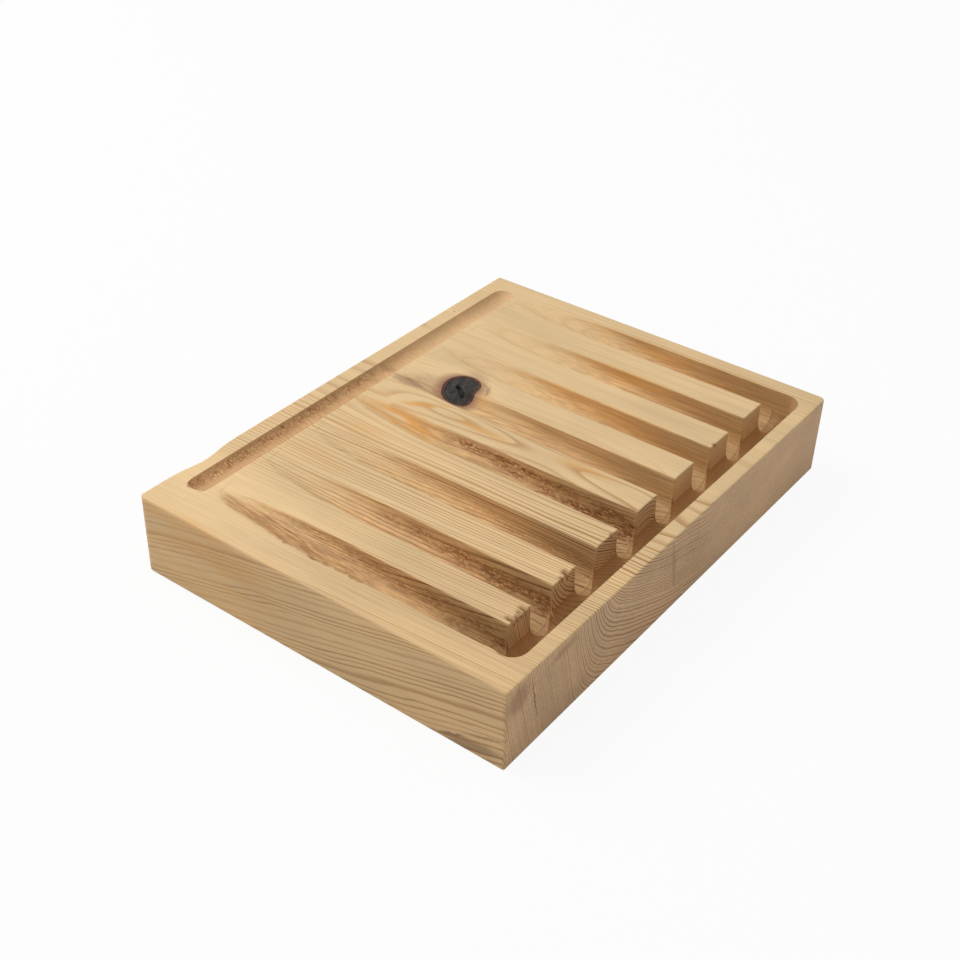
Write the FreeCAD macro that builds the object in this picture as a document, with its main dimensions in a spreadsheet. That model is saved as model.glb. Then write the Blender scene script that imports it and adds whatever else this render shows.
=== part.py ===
import FreeCAD
import Part
import Sketcher
import math
import os

# A soap dish routed from one softwood board, with a dead knot in the wood.
# Frame: millimetres, +Z up, origin at the centre of the underside.
# +X runs along the grain and the grooves, from the shallow channel down to the deep one.
# +Y runs across the grooves, from the wide front rim to the narrow back rim.

# Driving dimensions: name, value in millimetres (or a count), what it measures
SIZES = [
    ("block_length", 105, "along the grain, from end face to end face"),
    ("block_width", 140, "across the grain"),
    ("block_height", 21.5, "thickness of the board"),
    ("edge_ease", 0.4, "radius that sanding leaves on the outer edges"),
    ("front_rim", 8.8, "flat rim in front of the first groove"),
    ("back_rim", 5, "flat rim behind the last groove"),
    ("left_rim", 4.5, "flat rim outside the shallow channel"),
    ("right_rim", 4, "flat rim outside the deep channel"),
    ("groove_count", 8, "grooves side by side, with a rib between each two"),
    ("first_groove_shift", 0.8, "how far the first groove stands behind its place in an even row"),
    ("cutter_radius", 4, "round-nosed cutter that made every groove and channel"),
    ("left_channel_depth", 1.5, "depth of the shallow channel"),
    ("entry_gap", 6.6, "from the middle of the shallow channel to where the cutter goes down for a groove"),
    ("entry_depth", 0.8, "how deep the cutter goes down before it moves on along its slope"),
    ("channel_floor", 10.4, "wood left under the deep channel"),
    ("outlet_drop", 0.6, "drop from a groove's end to the floor of the deep channel"),
    ("channel_overshoot", 0.4, "how far the deep channel runs past the first groove"),
    ("knot_from_left", 28.6, "centre of the knot from the left end face"),
    ("knot_from_front", 84.7, "centre of the knot from the front face"),
    ("knot_top_diameter", 11, "hole that the knot fills, at the top face"),
    ("knot_bottom_diameter", 12.5, "hole that the knot fills, at the underside"),
    ("bark_thickness", 0.8, "bark sleeve round the knot"),
    ("overrun", 1, "how far a cutting shape runs past the wood"),
]

# Places and sizes that follow from the driving dimensions, as formulas
FIRST_GROOVE_FROM_MIDDLE = "(Sizes.block_width / 2 - Sizes.front_rim - Sizes.cutter_radius)"
LAST_GROOVE_FROM_MIDDLE = "(Sizes.block_width / 2 - Sizes.back_rim - Sizes.cutter_radius)"
EVEN_SPAN = f"({FIRST_GROOVE_FROM_MIDDLE} + Sizes.first_groove_shift + {LAST_GROOVE_FROM_MIDDLE})"
ROW_SPAN = f"({EVEN_SPAN} * (Sizes.groove_count - 2) / (Sizes.groove_count - 1))"
SECOND_GROOVE_FROM_MIDDLE = f"({ROW_SPAN} - {LAST_GROOVE_FROM_MIDDLE})"
LEFT_HALF_MOUTH = "sqrt(Sizes.left_channel_depth * (2 * Sizes.cutter_radius - Sizes.left_channel_depth))"
LEFT_AXIS_X = f"(Sizes.left_rim + {LEFT_HALF_MOUTH} - Sizes.block_length / 2)"
LEFT_AXIS_Z = "(Sizes.block_height - Sizes.left_channel_depth + Sizes.cutter_radius)"
RIGHT_AXIS_X = "(Sizes.block_length / 2 - Sizes.right_rim - Sizes.cutter_radius)"
RIGHT_AXIS_Z = "(Sizes.channel_floor + Sizes.cutter_radius)"
ENTRY_X = f"({LEFT_AXIS_X} + Sizes.entry_gap)"
ENTRY_AXIS_Z = "(Sizes.block_height - Sizes.entry_depth + Sizes.cutter_radius)"
GROOVE_END_DEPTH = "(Sizes.block_height - Sizes.channel_floor - Sizes.outlet_drop)"
GROOVE_RUN = f"({RIGHT_AXIS_X} - {ENTRY_X})"
GROOVE_FALL = f"({GROOVE_END_DEPTH} - Sizes.entry_depth)"

HALF_TURN = math.pi
QUARTER_TURN = math.pi / 2
FULL_CIRCLE_DEGREES = 360

# Ways to name a point of a sketch: the origin, and the ends and centre of a curve
ORIGIN = (-1, 1)
START, END, CENTRE = 1, 2, 3

doc = FreeCAD.newDocument("SoapDish")
sheet = doc.addObject("Spreadsheet::Sheet", "Sizes")
for row, (alias, number, meaning) in enumerate(SIZES, start=1):
    sheet.set(f"A{row}", str(number))
    sheet.setAlias(f"A{row}", alias)
    sheet.set(f"B{row}", meaning)
doc.recompute()


def value(formula):
    """Number that a formula of the sheet stands for."""
    return float(sheet.evalExpression(formula))


def origin_feature(body, role):
    """Origin plane or axis of a body."""
    return next(feature for feature in body.Origin.OriginFeatures if feature.Role == role)


def sketch_on(body, name, role, **offsets):
    """Sketch on an origin plane, moved in the plane's own x, y and z by formulas."""
    sketch = body.newObject("Sketcher::SketchObject", name)
    sketch.AttachmentSupport = [(origin_feature(body, role), "")]
    sketch.MapMode = "FlatFace"
    for axis, formula in offsets.items():
        sketch.setExpression(f"AttachmentOffset.Base.{axis}", formula)
    return sketch


def line(start, end):
    """Straight stretch of an outline."""
    return Part.LineSegment(FreeCAD.Vector(*start, 0), FreeCAD.Vector(*end, 0))


def arc(centre, radius, turn_from, turn_to):
    """Round stretch of an outline, anticlockwise."""
    circle = Part.Circle(FreeCAD.Vector(*centre, 0), FreeCAD.Vector(0, 0, 1), radius)
    return Part.ArcOfCircle(circle, turn_from, turn_to)


def closed_outline(sketch, curves):
    """Draw curves head to tail, anticlockwise, and join the last to the first."""
    sketch.addGeometry(curves)
    for index in range(len(curves)):
        follower = (index + 1) % len(curves)
        sketch.addConstraint(Sketcher.Constraint("Coincident", index, END, follower, START))


def rule(sketch, kind, *where):
    """Constraint without a size."""
    sketch.addConstraint(Sketcher.Constraint(kind, *where))


def dimension(sketch, formula, kind, *where):
    """Constraint whose size follows a formula of the sheet."""
    index = sketch.addConstraint(Sketcher.Constraint(kind, *where, value(formula)))
    sketch.setExpression(f"Constraints[{index}]", formula)


def board(body):
    """Plain board with eased edges."""
    half_length = value("Sizes.block_length / 2")
    half_width = value("Sizes.block_width / 2")
    front_left = (-half_length, -half_width)
    front_right = (half_length, -half_width)
    back_right = (half_length, half_width)
    back_left = (-half_length, half_width)
    corners = [front_left, front_right, back_right, back_left]
    sketch = sketch_on(body, "board_outline", "XY_Plane")
    closed_outline(sketch, [line(corners[i - 1], corners[i]) for i in range(len(corners))])
    left, front, right, back = range(len(corners))
    rule(sketch, "Vertical", left)
    rule(sketch, "Horizontal", front)
    rule(sketch, "Vertical", right)
    rule(sketch, "Horizontal", back)
    dimension(sketch, "Sizes.block_length", "DistanceX", front, START, front, END)
    dimension(sketch, "Sizes.block_width", "DistanceY", right, START, right, END)
    dimension(sketch, "Sizes.block_length / 2", "DistanceX", front, START, *ORIGIN)
    dimension(sketch, "Sizes.block_width / 2", "DistanceY", front, START, *ORIGIN)
    pad = body.newObject("PartDesign::Pad", "board")
    pad.Profile = sketch
    pad.setExpression("Length", "Sizes.block_height")
    doc.recompute()
    eased = body.newObject("PartDesign::Fillet", "eased_edges")
    eased.Base = pad
    eased.UseAllEdges = True
    eased.setExpression("Radius", "Sizes.edge_ease")
    doc.recompute()


def round_nosed_cut(body, name, axis_x, axis_z, front_from_middle):
    """Trough along Y left by the cutter's round nose, with a round end at each end."""
    radius = value("Sizes.cutter_radius")
    front = -value(front_from_middle)
    back = value(LAST_GROOVE_FROM_MIDDLE)
    sketch = sketch_on(body, f"{name}_outline", "YZ_Plane", y=axis_z, z=axis_x)
    closed_outline(sketch, [
        arc((front, 0), radius, HALF_TURN, HALF_TURN + QUARTER_TURN),
        line((front, -radius), (back, -radius)),
        arc((back, 0), radius, -QUARTER_TURN, 0),
        line((back + radius, 0), (front - radius, 0)),
    ])
    front_end, back_end = 0, 2
    for end in (front_end, back_end):
        rule(sketch, "PointOnObject", end, CENTRE, ORIGIN[0])
        dimension(sketch, "Sizes.cutter_radius", "Radius", end)
    rule(sketch, "PointOnObject", front_end, START, ORIGIN[0])
    rule(sketch, "PointOnObject", back_end, END, ORIGIN[0])
    rule(sketch, "Vertical", front_end, END, front_end, CENTRE)
    rule(sketch, "Vertical", back_end, START, back_end, CENTRE)
    dimension(sketch, front_from_middle, "DistanceX", front_end, CENTRE, *ORIGIN)
    dimension(sketch, LAST_GROOVE_FROM_MIDDLE, "DistanceX", *ORIGIN, back_end, CENTRE)
    cut = body.newObject("PartDesign::Groove", name)
    cut.Profile = sketch
    cut.ReferenceAxis = (sketch, ["H_Axis"])
    cut.Angle = FULL_CIRCLE_DEGREES
    doc.recompute()


def deep_channel_walls(body, front_from_middle):
    """Upright walls of the deep channel, a slot with round ends, down to where its floor turns round."""
    radius = value("Sizes.cutter_radius")
    middle = value(RIGHT_AXIS_X)
    front = -value(front_from_middle)
    back = value(LAST_GROOVE_FROM_MIDDLE)
    sketch = sketch_on(body, "deep_channel_mouth", "XY_Plane", z="Sizes.block_height")
    closed_outline(sketch, [
        arc((middle, front), radius, HALF_TURN, HALF_TURN + HALF_TURN),
        line((middle + radius, front), (middle + radius, back)),
        arc((middle, back), radius, 0, HALF_TURN),
        line((middle - radius, back), (middle - radius, front)),
    ])
    front_end, back_end = 0, 2
    for end in (front_end, back_end):
        dimension(sketch, "Sizes.cutter_radius", "Radius", end)
        dimension(sketch, RIGHT_AXIS_X, "DistanceX", *ORIGIN, end, CENTRE)
        rule(sketch, "Horizontal", end, START, end, CENTRE)
        rule(sketch, "Horizontal", end, END, end, CENTRE)
    dimension(sketch, front_from_middle, "DistanceY", front_end, CENTRE, *ORIGIN)
    dimension(sketch, LAST_GROOVE_FROM_MIDDLE, "DistanceY", *ORIGIN, back_end, CENTRE)
    cut = body.newObject("PartDesign::Pocket", "deep_channel_walls")
    cut.Profile = sketch
    cut.setExpression("Length", f"Sizes.block_height - {RIGHT_AXIS_Z}")
    doc.recompute()


def groove_entry(body, name, from_middle):
    """Round hollow where the cutter goes straight down to begin a groove."""
    radius = value("Sizes.cutter_radius")
    sketch = sketch_on(body, f"{name}_outline", "YZ_Plane", x=f"-{from_middle}", y=ENTRY_AXIS_Z, z=ENTRY_X)
    closed_outline(sketch, [
        arc((0, 0), radius, -QUARTER_TURN, 0),
        line((radius, 0), (0, 0)),
        line((0, 0), (0, -radius)),
    ])
    nose, top, axis = range(3)
    rule(sketch, "Coincident", nose, CENTRE, *ORIGIN)
    rule(sketch, "Coincident", axis, START, *ORIGIN)
    rule(sketch, "Horizontal", top)
    rule(sketch, "Vertical", axis)
    dimension(sketch, "Sizes.cutter_radius", "Radius", nose)
    cut = body.newObject("PartDesign::Groove", name)
    cut.Profile = sketch
    cut.ReferenceAxis = (sketch, ["V_Axis"])
    cut.Angle = FULL_CIRCLE_DEGREES
    doc.recompute()
    return cut


def groove_slope(body, name, from_middle):
    """Round-bottomed groove that falls from the cutter's entry to the deep channel."""
    radius = value("Sizes.cutter_radius")
    middle = -value(from_middle)
    low = value(ENTRY_AXIS_Z)
    high = low + value(GROOVE_FALL)
    sketch = sketch_on(body, f"{name}_section", "YZ_Plane", z=ENTRY_X)
    closed_outline(sketch, [
        arc((middle, low), radius, HALF_TURN, HALF_TURN + HALF_TURN),
        line((middle + radius, low), (middle + radius, high)),
        line((middle + radius, high), (middle - radius, high)),
        line((middle - radius, high), (middle - radius, low)),
    ])
    bottom, back_wall, top, front_wall = range(4)
    dimension(sketch, "Sizes.cutter_radius", "Radius", bottom)
    dimension(sketch, from_middle, "DistanceX", bottom, CENTRE, *ORIGIN)
    dimension(sketch, ENTRY_AXIS_Z, "DistanceY", *ORIGIN, bottom, CENTRE)
    rule(sketch, "Horizontal", bottom, START, bottom, CENTRE)
    rule(sketch, "Horizontal", bottom, END, bottom, CENTRE)
    rule(sketch, "Vertical", back_wall)
    rule(sketch, "Vertical", front_wall)
    rule(sketch, "Horizontal", top)
    dimension(sketch, GROOVE_FALL, "DistanceY", back_wall, START, back_wall, END)
    cut = body.newObject("PartDesign::Pocket", name)
    cut.Profile = sketch
    cut.UseCustomVector = True
    cut.AlongSketchNormal = True
    cut.setExpression("Direction.x", GROOVE_RUN)
    cut.setExpression("Direction.z", f"-{GROOVE_FALL}")
    cut.setExpression("Length", GROOVE_RUN)
    doc.recompute()
    return cut


def grooves(body):
    """The first groove by itself, and the row of evenly spaced grooves behind it."""
    groove_entry(body, "first_entry", FIRST_GROOVE_FROM_MIDDLE)
    groove_slope(body, "first_slope", FIRST_GROOVE_FROM_MIDDLE)
    entry = groove_entry(body, "second_entry", SECOND_GROOVE_FROM_MIDDLE)
    slope = groove_slope(body, "second_slope", SECOND_GROOVE_FROM_MIDDLE)
    row = body.newObject("PartDesign::LinearPattern", "groove_row")
    row.Originals = [entry, slope]
    row.Direction = (origin_feature(body, "Y_Axis"), [""])
    row.setExpression("Length", ROW_SPAN)
    row.setExpression("Occurrences", "Sizes.groove_count - 1")
    body.Tip = row
    doc.recompute()


def routed_board():
    """Board with every channel and groove cut, as if it had no knot."""
    body = doc.addObject("PartDesign::Body", "routed_board")
    board(body)
    deep_front = f"({FIRST_GROOVE_FROM_MIDDLE} + Sizes.channel_overshoot)"
    round_nosed_cut(body, "shallow_channel", LEFT_AXIS_X, LEFT_AXIS_Z, FIRST_GROOVE_FROM_MIDDLE)
    deep_channel_walls(body, deep_front)
    round_nosed_cut(body, "deep_channel_floor", RIGHT_AXIS_X, RIGHT_AXIS_Z, deep_front)
    grooves(body)
    return body


def branch(name, inset):
    """Tapered branch through the board, thinner by an inset all round."""
    cone = doc.addObject("Part::Cone", name)
    cone.setExpression("Radius1", f"Sizes.knot_bottom_diameter / 2 - {inset}")
    cone.setExpression("Radius2", f"Sizes.knot_top_diameter / 2 - {inset}")
    cone.setExpression("Height", "Sizes.block_height + 2 * Sizes.overrun")
    cone.setExpression("Placement.Base.x", "Sizes.knot_from_left - Sizes.block_length / 2")
    cone.setExpression("Placement.Base.y", "Sizes.knot_from_front - Sizes.block_width / 2")
    cone.setExpression("Placement.Base.z", "-Sizes.overrun")
    return cone


def combine(kind, label, base, tool):
    """Boolean of two shapes."""
    result = doc.addObject(kind, label)
    result.Label = label
    result.Base = base
    result.Tool = tool
    return result


wood = routed_board()
branch_with_bark = branch("branch_with_bark", "0")
branch_wood = branch("branch_wood", "Sizes.bark_thickness")
bark_sleeve = combine("Part::Cut", "bark_sleeve", branch_with_bark, branch_wood)
sub_parts = [
    combine("Part::Cut", "dish_block", wood, branch_with_bark),
    combine("Part::Common", "knot_bark", wood, bark_sleeve),
    combine("Part::Common", "knot_core", wood, branch_wood),
]
doc.recompute()

# Every cut takes wood away
steps = [thing for thing in wood.Group if thing.isDerivedFrom("PartDesign::Feature")]
volumes = [step.Shape.Volume for step in steps]
for before, after in zip(volumes, volumes[1:]):
    if after >= before:
        raise RuntimeError("a cut takes no wood away")

for thing in doc.Objects:
    if "Invalid" in thing.State or "Error" in thing.State:
        raise RuntimeError(f"{thing.Label} failed: {thing.State}")
for piece in sub_parts:
    if piece.Shape.isNull() or not piece.Shape.isValid() or len(piece.Shape.Solids) != 1:
        raise RuntimeError(f"{piece.Label} isn't one valid solid")

os.makedirs("parts", exist_ok=True)
for piece in sub_parts:
    piece.Shape.exportStep(f"parts/{piece.Label}.step")
    box = piece.Shape.BoundBox
    print(piece.Label, round(piece.Shape.Volume), box)
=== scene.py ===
"""Looks of a soap dish routed from one pine board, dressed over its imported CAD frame.

Properties hold lengths in metres, as Blender does. The shaping code works in millimetres, because
cutter sizes, growth rings and torn fibres are thought of in millimetres, and scales once at the end.
The grain runs along X, the grooves lie side by side along Y, and the board rests on Z = 0.
"""

import math
import random
from functools import partial
from types import SimpleNamespace

import bmesh
import bpy
from mathutils import Color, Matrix, Quaternion, Vector, noise


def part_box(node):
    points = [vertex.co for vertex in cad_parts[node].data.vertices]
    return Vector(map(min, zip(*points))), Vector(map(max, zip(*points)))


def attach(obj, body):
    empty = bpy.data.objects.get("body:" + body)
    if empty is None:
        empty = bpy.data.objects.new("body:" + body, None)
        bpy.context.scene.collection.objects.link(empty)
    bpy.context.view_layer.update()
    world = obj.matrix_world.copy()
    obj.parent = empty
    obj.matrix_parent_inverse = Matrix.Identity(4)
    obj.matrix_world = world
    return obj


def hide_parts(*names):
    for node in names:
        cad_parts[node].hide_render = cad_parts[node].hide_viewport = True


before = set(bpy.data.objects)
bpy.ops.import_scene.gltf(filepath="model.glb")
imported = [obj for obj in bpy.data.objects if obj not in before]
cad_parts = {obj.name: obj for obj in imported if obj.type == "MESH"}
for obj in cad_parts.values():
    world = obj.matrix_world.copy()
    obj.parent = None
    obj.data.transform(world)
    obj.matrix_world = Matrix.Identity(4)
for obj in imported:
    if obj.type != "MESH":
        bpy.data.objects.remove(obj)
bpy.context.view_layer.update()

bl_info = {
    "name": "Routed Pine Soap Dish",
    "version": (1, 0, 0),
    "blender": (4, 5, 0),
    "location": "View3D > Sidebar > Soap Dish",
    "description": "Builds a routed pine soap dish with its dead knot and torn fibres, and a studio stage",
    "category": "Object",
}

MM = 0.001
BODY = "root"


def linear(code):
    """Linear colour of an sRGB hex value."""
    parts = [int(code[i:i + 2], 16) / 255 for i in (1, 3, 5)]
    return [p / 12.92 if p <= 0.04045 else ((p + 0.055) / 1.055) ** 2.4 for p in parts]


def size_of(node):
    """Extent of a CAD node along X, Y and Z in metres, and its centre."""
    low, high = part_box(node)
    return high - low, (low + high) / 2


BLOCK_SIZE, _ = size_of("dish_block")
_, KNOT_CENTRE = size_of("knot_bark")


class BoardSizes(bpy.types.PropertyGroup):
    """Sizes of the routed board."""

    length: bpy.props.FloatProperty(
        name="Length", description="Board along the grain", default=BLOCK_SIZE.x, unit="LENGTH")
    width: bpy.props.FloatProperty(
        name="Width", description="Board across the grain", default=BLOCK_SIZE.y, unit="LENGTH")
    height: bpy.props.FloatProperty(
        name="Height", description="Thickness of the board", default=BLOCK_SIZE.z, unit="LENGTH")
    front_rim: bpy.props.FloatProperty(
        name="Front rim", description="Rim in front of the first groove", default=0.0088, unit="LENGTH")
    back_rim: bpy.props.FloatProperty(
        name="Back rim", description="Rim behind the last groove", default=0.005, unit="LENGTH")
    left_rim: bpy.props.FloatProperty(
        name="Left rim", description="Rim beside the shallow channel", default=0.0045, unit="LENGTH")
    right_rim: bpy.props.FloatProperty(
        name="Right rim", description="Rim beside the deep channel", default=0.004, unit="LENGTH")
    grooves: bpy.props.IntProperty(
        name="Grooves", description="Number of drain grooves", default=8, min=2)
    first_shift: bpy.props.FloatProperty(
        name="First groove shift", default=0.0008, unit="LENGTH",
        description="How far the first groove stands behind its place in an even row")
    cutter_radius: bpy.props.FloatProperty(
        name="Cutter radius", description="Radius of the round-nosed cutter", default=0.004, unit="LENGTH")
    shallow_depth: bpy.props.FloatProperty(
        name="Shallow channel", description="Depth of the channel at the upper ends of the grooves",
        default=0.0015, unit="LENGTH")
    entry_gap: bpy.props.FloatProperty(
        name="Entry gap", description="From the middle of the shallow channel to where the cutter goes down",
        default=0.0066, unit="LENGTH")
    entry_depth: bpy.props.FloatProperty(
        name="Entry depth", description="How deep the cutter goes down before it moves on down the slope",
        default=0.0001, unit="LENGTH")
    deep_floor: bpy.props.FloatProperty(
        name="Deep channel floor", description="Wood left under the deep channel",
        default=0.0104, unit="LENGTH")
    outlet_drop: bpy.props.FloatProperty(
        name="Outlet drop", description="Step from the grooves down into the deep channel",
        default=0.0006, unit="LENGTH")
    overshoot: bpy.props.FloatProperty(
        name="Channel overshoot", description="How far the deep channel runs on in front of the first groove",
        default=0.0004, unit="LENGTH")
    edge_ease: bpy.props.FloatProperty(
        name="Eased edge", description="Rounding of the outer edges by sandpaper",
        default=0.0004, unit="LENGTH")
    rib_ease: bpy.props.FloatProperty(
        name="Eased rib", description="Rounding of the edges that the cutter left",
        default=0.0002, unit="LENGTH")
    hollow: bpy.props.FloatProperty(
        name="Hollow", description="Depth of the hollow worn into the left edge near the front",
        default=0.0012, unit="LENGTH")
    hollow_place: bpy.props.FloatProperty(
        name="Hollow place", description="Where across the board that hollow is deepest",
        default=-0.05, unit="LENGTH")
    hollow_reach: bpy.props.FloatProperty(
        name="Hollow reach", description="How far that hollow reaches to each side",
        default=0.006, unit="LENGTH")


class KnotSizes(bpy.types.PropertyGroup):
    """Place and size of the dead knot."""

    across: bpy.props.FloatProperty(
        name="Top width", description="Mean width of the knot at the top of the board",
        default=0.011, unit="LENGTH")
    growth: bpy.props.FloatProperty(
        name="Growth", description="How much wider the knot is at the underside",
        default=0.0015, unit="LENGTH")
    bark: bpy.props.FloatProperty(
        name="Bark", description="Thickness of the bark round the knot", default=0.0008, unit="LENGTH")
    place: bpy.props.FloatVectorProperty(
        name="Place", description="Centre of the knot on the board",
        default=(KNOT_CENTRE.x, KNOT_CENTRE.y), size=2, unit="LENGTH")


class WoodColours(bpy.types.PropertyGroup):
    """Colours of the wood, the knot and the torn fibres."""

    earlywood: bpy.props.FloatVectorProperty(
        name="Earlywood", description="Pale wood of spring growth on planed faces",
        default=linear("#DBBB8A"), size=3, subtype="COLOR")
    latewood: bpy.props.FloatVectorProperty(
        name="Latewood", description="Dark line of summer growth on planed faces",
        default=linear("#A0692E"), size=3, subtype="COLOR")
    # The routed colours take over the deeper a cut is, so their darkness is partly painted shade.
    routed_early: bpy.props.FloatVectorProperty(
        name="Routed earlywood", description="Pale wood where the cutter ran",
        default=linear("#D8B07A"), size=3, subtype="COLOR")
    routed_late: bpy.props.FloatVectorProperty(
        name="Routed latewood", description="Growth lines where the cutter ran",
        default=linear("#885426"), size=3, subtype="COLOR")
    cross_early: bpy.props.FloatVectorProperty(
        name="Cross-routed wood", description="Pale wood where the cutter ran across the grain",
        default=linear("#C59A6A"), size=3, subtype="COLOR")
    cross_late: bpy.props.FloatVectorProperty(
        name="Cross-routed lines", description="Growth lines where the cutter ran across the grain",
        default=linear("#8E653A"), size=3, subtype="COLOR")
    end_early: bpy.props.FloatVectorProperty(
        name="End grain", description="Cut ends of the pale wood",
        default=linear("#DCB78F"), size=3, subtype="COLOR")
    end_late: bpy.props.FloatVectorProperty(
        name="End grain rings", description="Cut ends of the growth lines",
        default=linear("#9C7A55"), size=3, subtype="COLOR")
    rib_end_early: bpy.props.FloatVectorProperty(
        name="Routed end grain", description="Pale wood at the routed ends of the ribs",
        default=linear("#D1AF83"), size=3, subtype="COLOR")
    rib_end_late: bpy.props.FloatVectorProperty(
        name="Routed end grain rings", description="Growth lines at the routed ends of the ribs",
        default=linear("#6E4A28"), size=3, subtype="COLOR")
    # The side faces' colours are darker than the top's, partly as painted shade.
    side_early: bpy.props.FloatVectorProperty(
        name="Side face", description="Pale wood of the front and back faces",
        default=linear("#D0AE7E"), size=3, subtype="COLOR")
    side_late: bpy.props.FloatVectorProperty(
        name="Side face lines", description="Growth lines of the front and back faces",
        default=linear("#9A7143"), size=3, subtype="COLOR")
    amber: bpy.props.FloatVectorProperty(
        name="Amber lines", description="Growth lines where resin warms them",
        default=linear("#B67C38"), size=3, subtype="COLOR")
    resin: bpy.props.FloatVectorProperty(
        name="Resin", description="Orange wood soaked with resin near the knot",
        default=linear("#D0923E"), size=3, subtype="COLOR")
    halo: bpy.props.FloatVectorProperty(
        name="Knot halo", description="Brown wood next to the knot",
        default=linear("#86563C"), size=3, subtype="COLOR")
    torn: bpy.props.FloatVectorProperty(
        name="Torn wood", description="Deep brown of torn-out wood",
        default=linear("#A06736"), size=3, subtype="COLOR")
    pit: bpy.props.FloatVectorProperty(
        name="Torn pit", description="Shaded bottom of a torn-out pit",
        default=linear("#764722"), size=3, subtype="COLOR")
    fibre: bpy.props.FloatVectorProperty(
        name="Torn fibre", description="Loose straw-coloured splinters",
        default=linear("#DDBB80"), size=3, subtype="COLOR")
    stain: bpy.props.FloatVectorProperty(
        name="Stain", description="Grey-brown stains and checks",
        default=linear("#74533B"), size=3, subtype="COLOR")
    charcoal: bpy.props.FloatVectorProperty(
        name="Dead knot", description="Dead wood of the knot",
        default=linear("#3A332E"), size=3, subtype="COLOR")
    charcoal_dark: bpy.props.FloatVectorProperty(
        name="Dead knot, dark", description="Darkest mottling of the knot",
        default=linear("#120E0B"), size=3, subtype="COLOR")
    bark: bpy.props.FloatVectorProperty(
        name="Bark", description="Bark round the knot",
        default=linear("#6E4B40"), size=3, subtype="COLOR")
    bark_dark: bpy.props.FloatVectorProperty(
        name="Bark, dark", description="Darkest mottling of the bark",
        default=linear("#3A2823"), size=3, subtype="COLOR")
    # Painted shade: the black laid into the knot's cracks and the seam inside the bark.
    crack: bpy.props.FloatVectorProperty(
        name="Crack", description="Black bottom of the knot's cracks",
        default=linear("#0D0A0A"), size=3, subtype="COLOR")


class StageSettings(bpy.types.PropertyGroup):
    """Floor, light and camera."""

    floor: bpy.props.FloatVectorProperty(
        name="Floor", description="Colour of the floor", default=linear("#E4E3E1"), size=3, subtype="COLOR")
    shadow: bpy.props.FloatProperty(
        name="Shadow", description="How much of the floor's shading the camera sees",
        default=0.08, min=0.0, max=1.0, subtype="FACTOR")
    sky: bpy.props.FloatProperty(
        name="Sky", description="Strength of the even light from all round", default=0.48, min=0.0)
    key: bpy.props.FloatProperty(
        name="Key lamp", description="Power of the large lamp above the front left", default=7.5, min=0.0,
        unit="POWER")
    key_size: bpy.props.FloatProperty(
        name="Key lamp size", description="Width of that lamp", default=0.8, unit="LENGTH")
    key_place: bpy.props.FloatVectorProperty(
        name="Key lamp place", description="Where that lamp hangs", default=(-0.62, -0.22, 0.78), size=3,
        unit="LENGTH")
    lens: bpy.props.FloatProperty(
        name="Lens", description="Focal length in millimetres on a 36 mm frame", default=55.085)
    camera_place: bpy.props.FloatVectorProperty(
        name="Camera place", description="Where the photographer stood",
        default=(0.17021, -0.24391, 0.22185), size=3, unit="LENGTH")
    camera_turn: bpy.props.FloatVectorProperty(
        name="Camera turn", description="Tilt, roll and heading of the camera",
        default=[math.radians(a) for a in (54.5896, -1.4848, 36.9749)], size=3, subtype="EULER")


GROUPS = (("soap_dish_board", BoardSizes), ("soap_dish_knot", KnotSizes),
          ("soap_dish_wood", WoodColours), ("soap_dish_stage", StageSettings))


def in_millimetres(context):
    """The board's and the knot's sizes in millimetres, with the lines that the cutter followed."""
    d = SimpleNamespace()
    for group in (context.scene.soap_dish_board, context.scene.soap_dish_knot):
        for name in group.__annotations__:
            value = getattr(group, name)
            if name == "grooves":
                setattr(d, name, value)
            elif name == "place":
                d.knot_x, d.knot_y = value[0] / MM, value[1] / MM
            else:
                setattr(d, "knot_bark" if name == "bark" else name, value / MM)
    d.radius = d.cutter_radius
    d.mouth = math.sqrt(d.shallow_depth * (2 * d.radius - d.shallow_depth))
    d.left_axis = d.left_rim + d.mouth - d.length / 2
    d.right_axis = d.length / 2 - d.right_rim - d.radius
    d.rib_end = d.right_axis - d.radius
    d.first = d.front_rim + d.radius - d.width / 2
    d.last = d.width / 2 - d.back_rim - d.radius
    pitch = (d.last - d.first + d.first_shift) / (d.grooves - 1)
    d.centres = [d.first] + [d.last - k * pitch for k in range(d.grooves - 2, -1, -1)]
    d.entry = d.left_axis + d.entry_gap
    d.slope = (d.height - d.deep_floor - d.outlet_drop - d.entry_depth) / (d.right_axis - d.entry)
    d.start = d.entry - math.sqrt(d.entry_depth * (2 * d.radius - d.entry_depth))
    return d


def rough(x, y, z):
    """Even noise from about -1 to 1 at a place, always the same."""
    return noise.noise(Vector((x, y, z)))


def step(low, high, value):
    """Smooth step from 0 at low to 1 at high."""
    t = min(max((value - low) / (high - low), 0.0), 1.0)
    return t * t * (3 - 2 * t)


def even(low, high, count):
    """Places between two ends, without the ends."""
    return [low + (high - low) * (k + 1) / (count + 1) for k in range(count)]


def groove_depth(d, x):
    """Depth of a drain groove's lowest line under the top of the board."""
    return d.entry_depth + (x - d.entry) * d.slope


def groove_bottom(d, x, y):
    """Height of the round bottom of the groove at a place, or none on a rib."""
    inside = d.radius ** 2 - min((y - centre) ** 2 for centre in d.centres)
    if inside < -0.001:
        return None
    return d.height - groove_depth(d, x) + d.radius - math.sqrt(max(inside, 0))


def top_of_board(d, x, y):
    """Height of the routed top at a place on the upper half of the grooves."""
    bottom = groove_bottom(d, x, y)
    return d.height if bottom is None else min(bottom, d.height)


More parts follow.
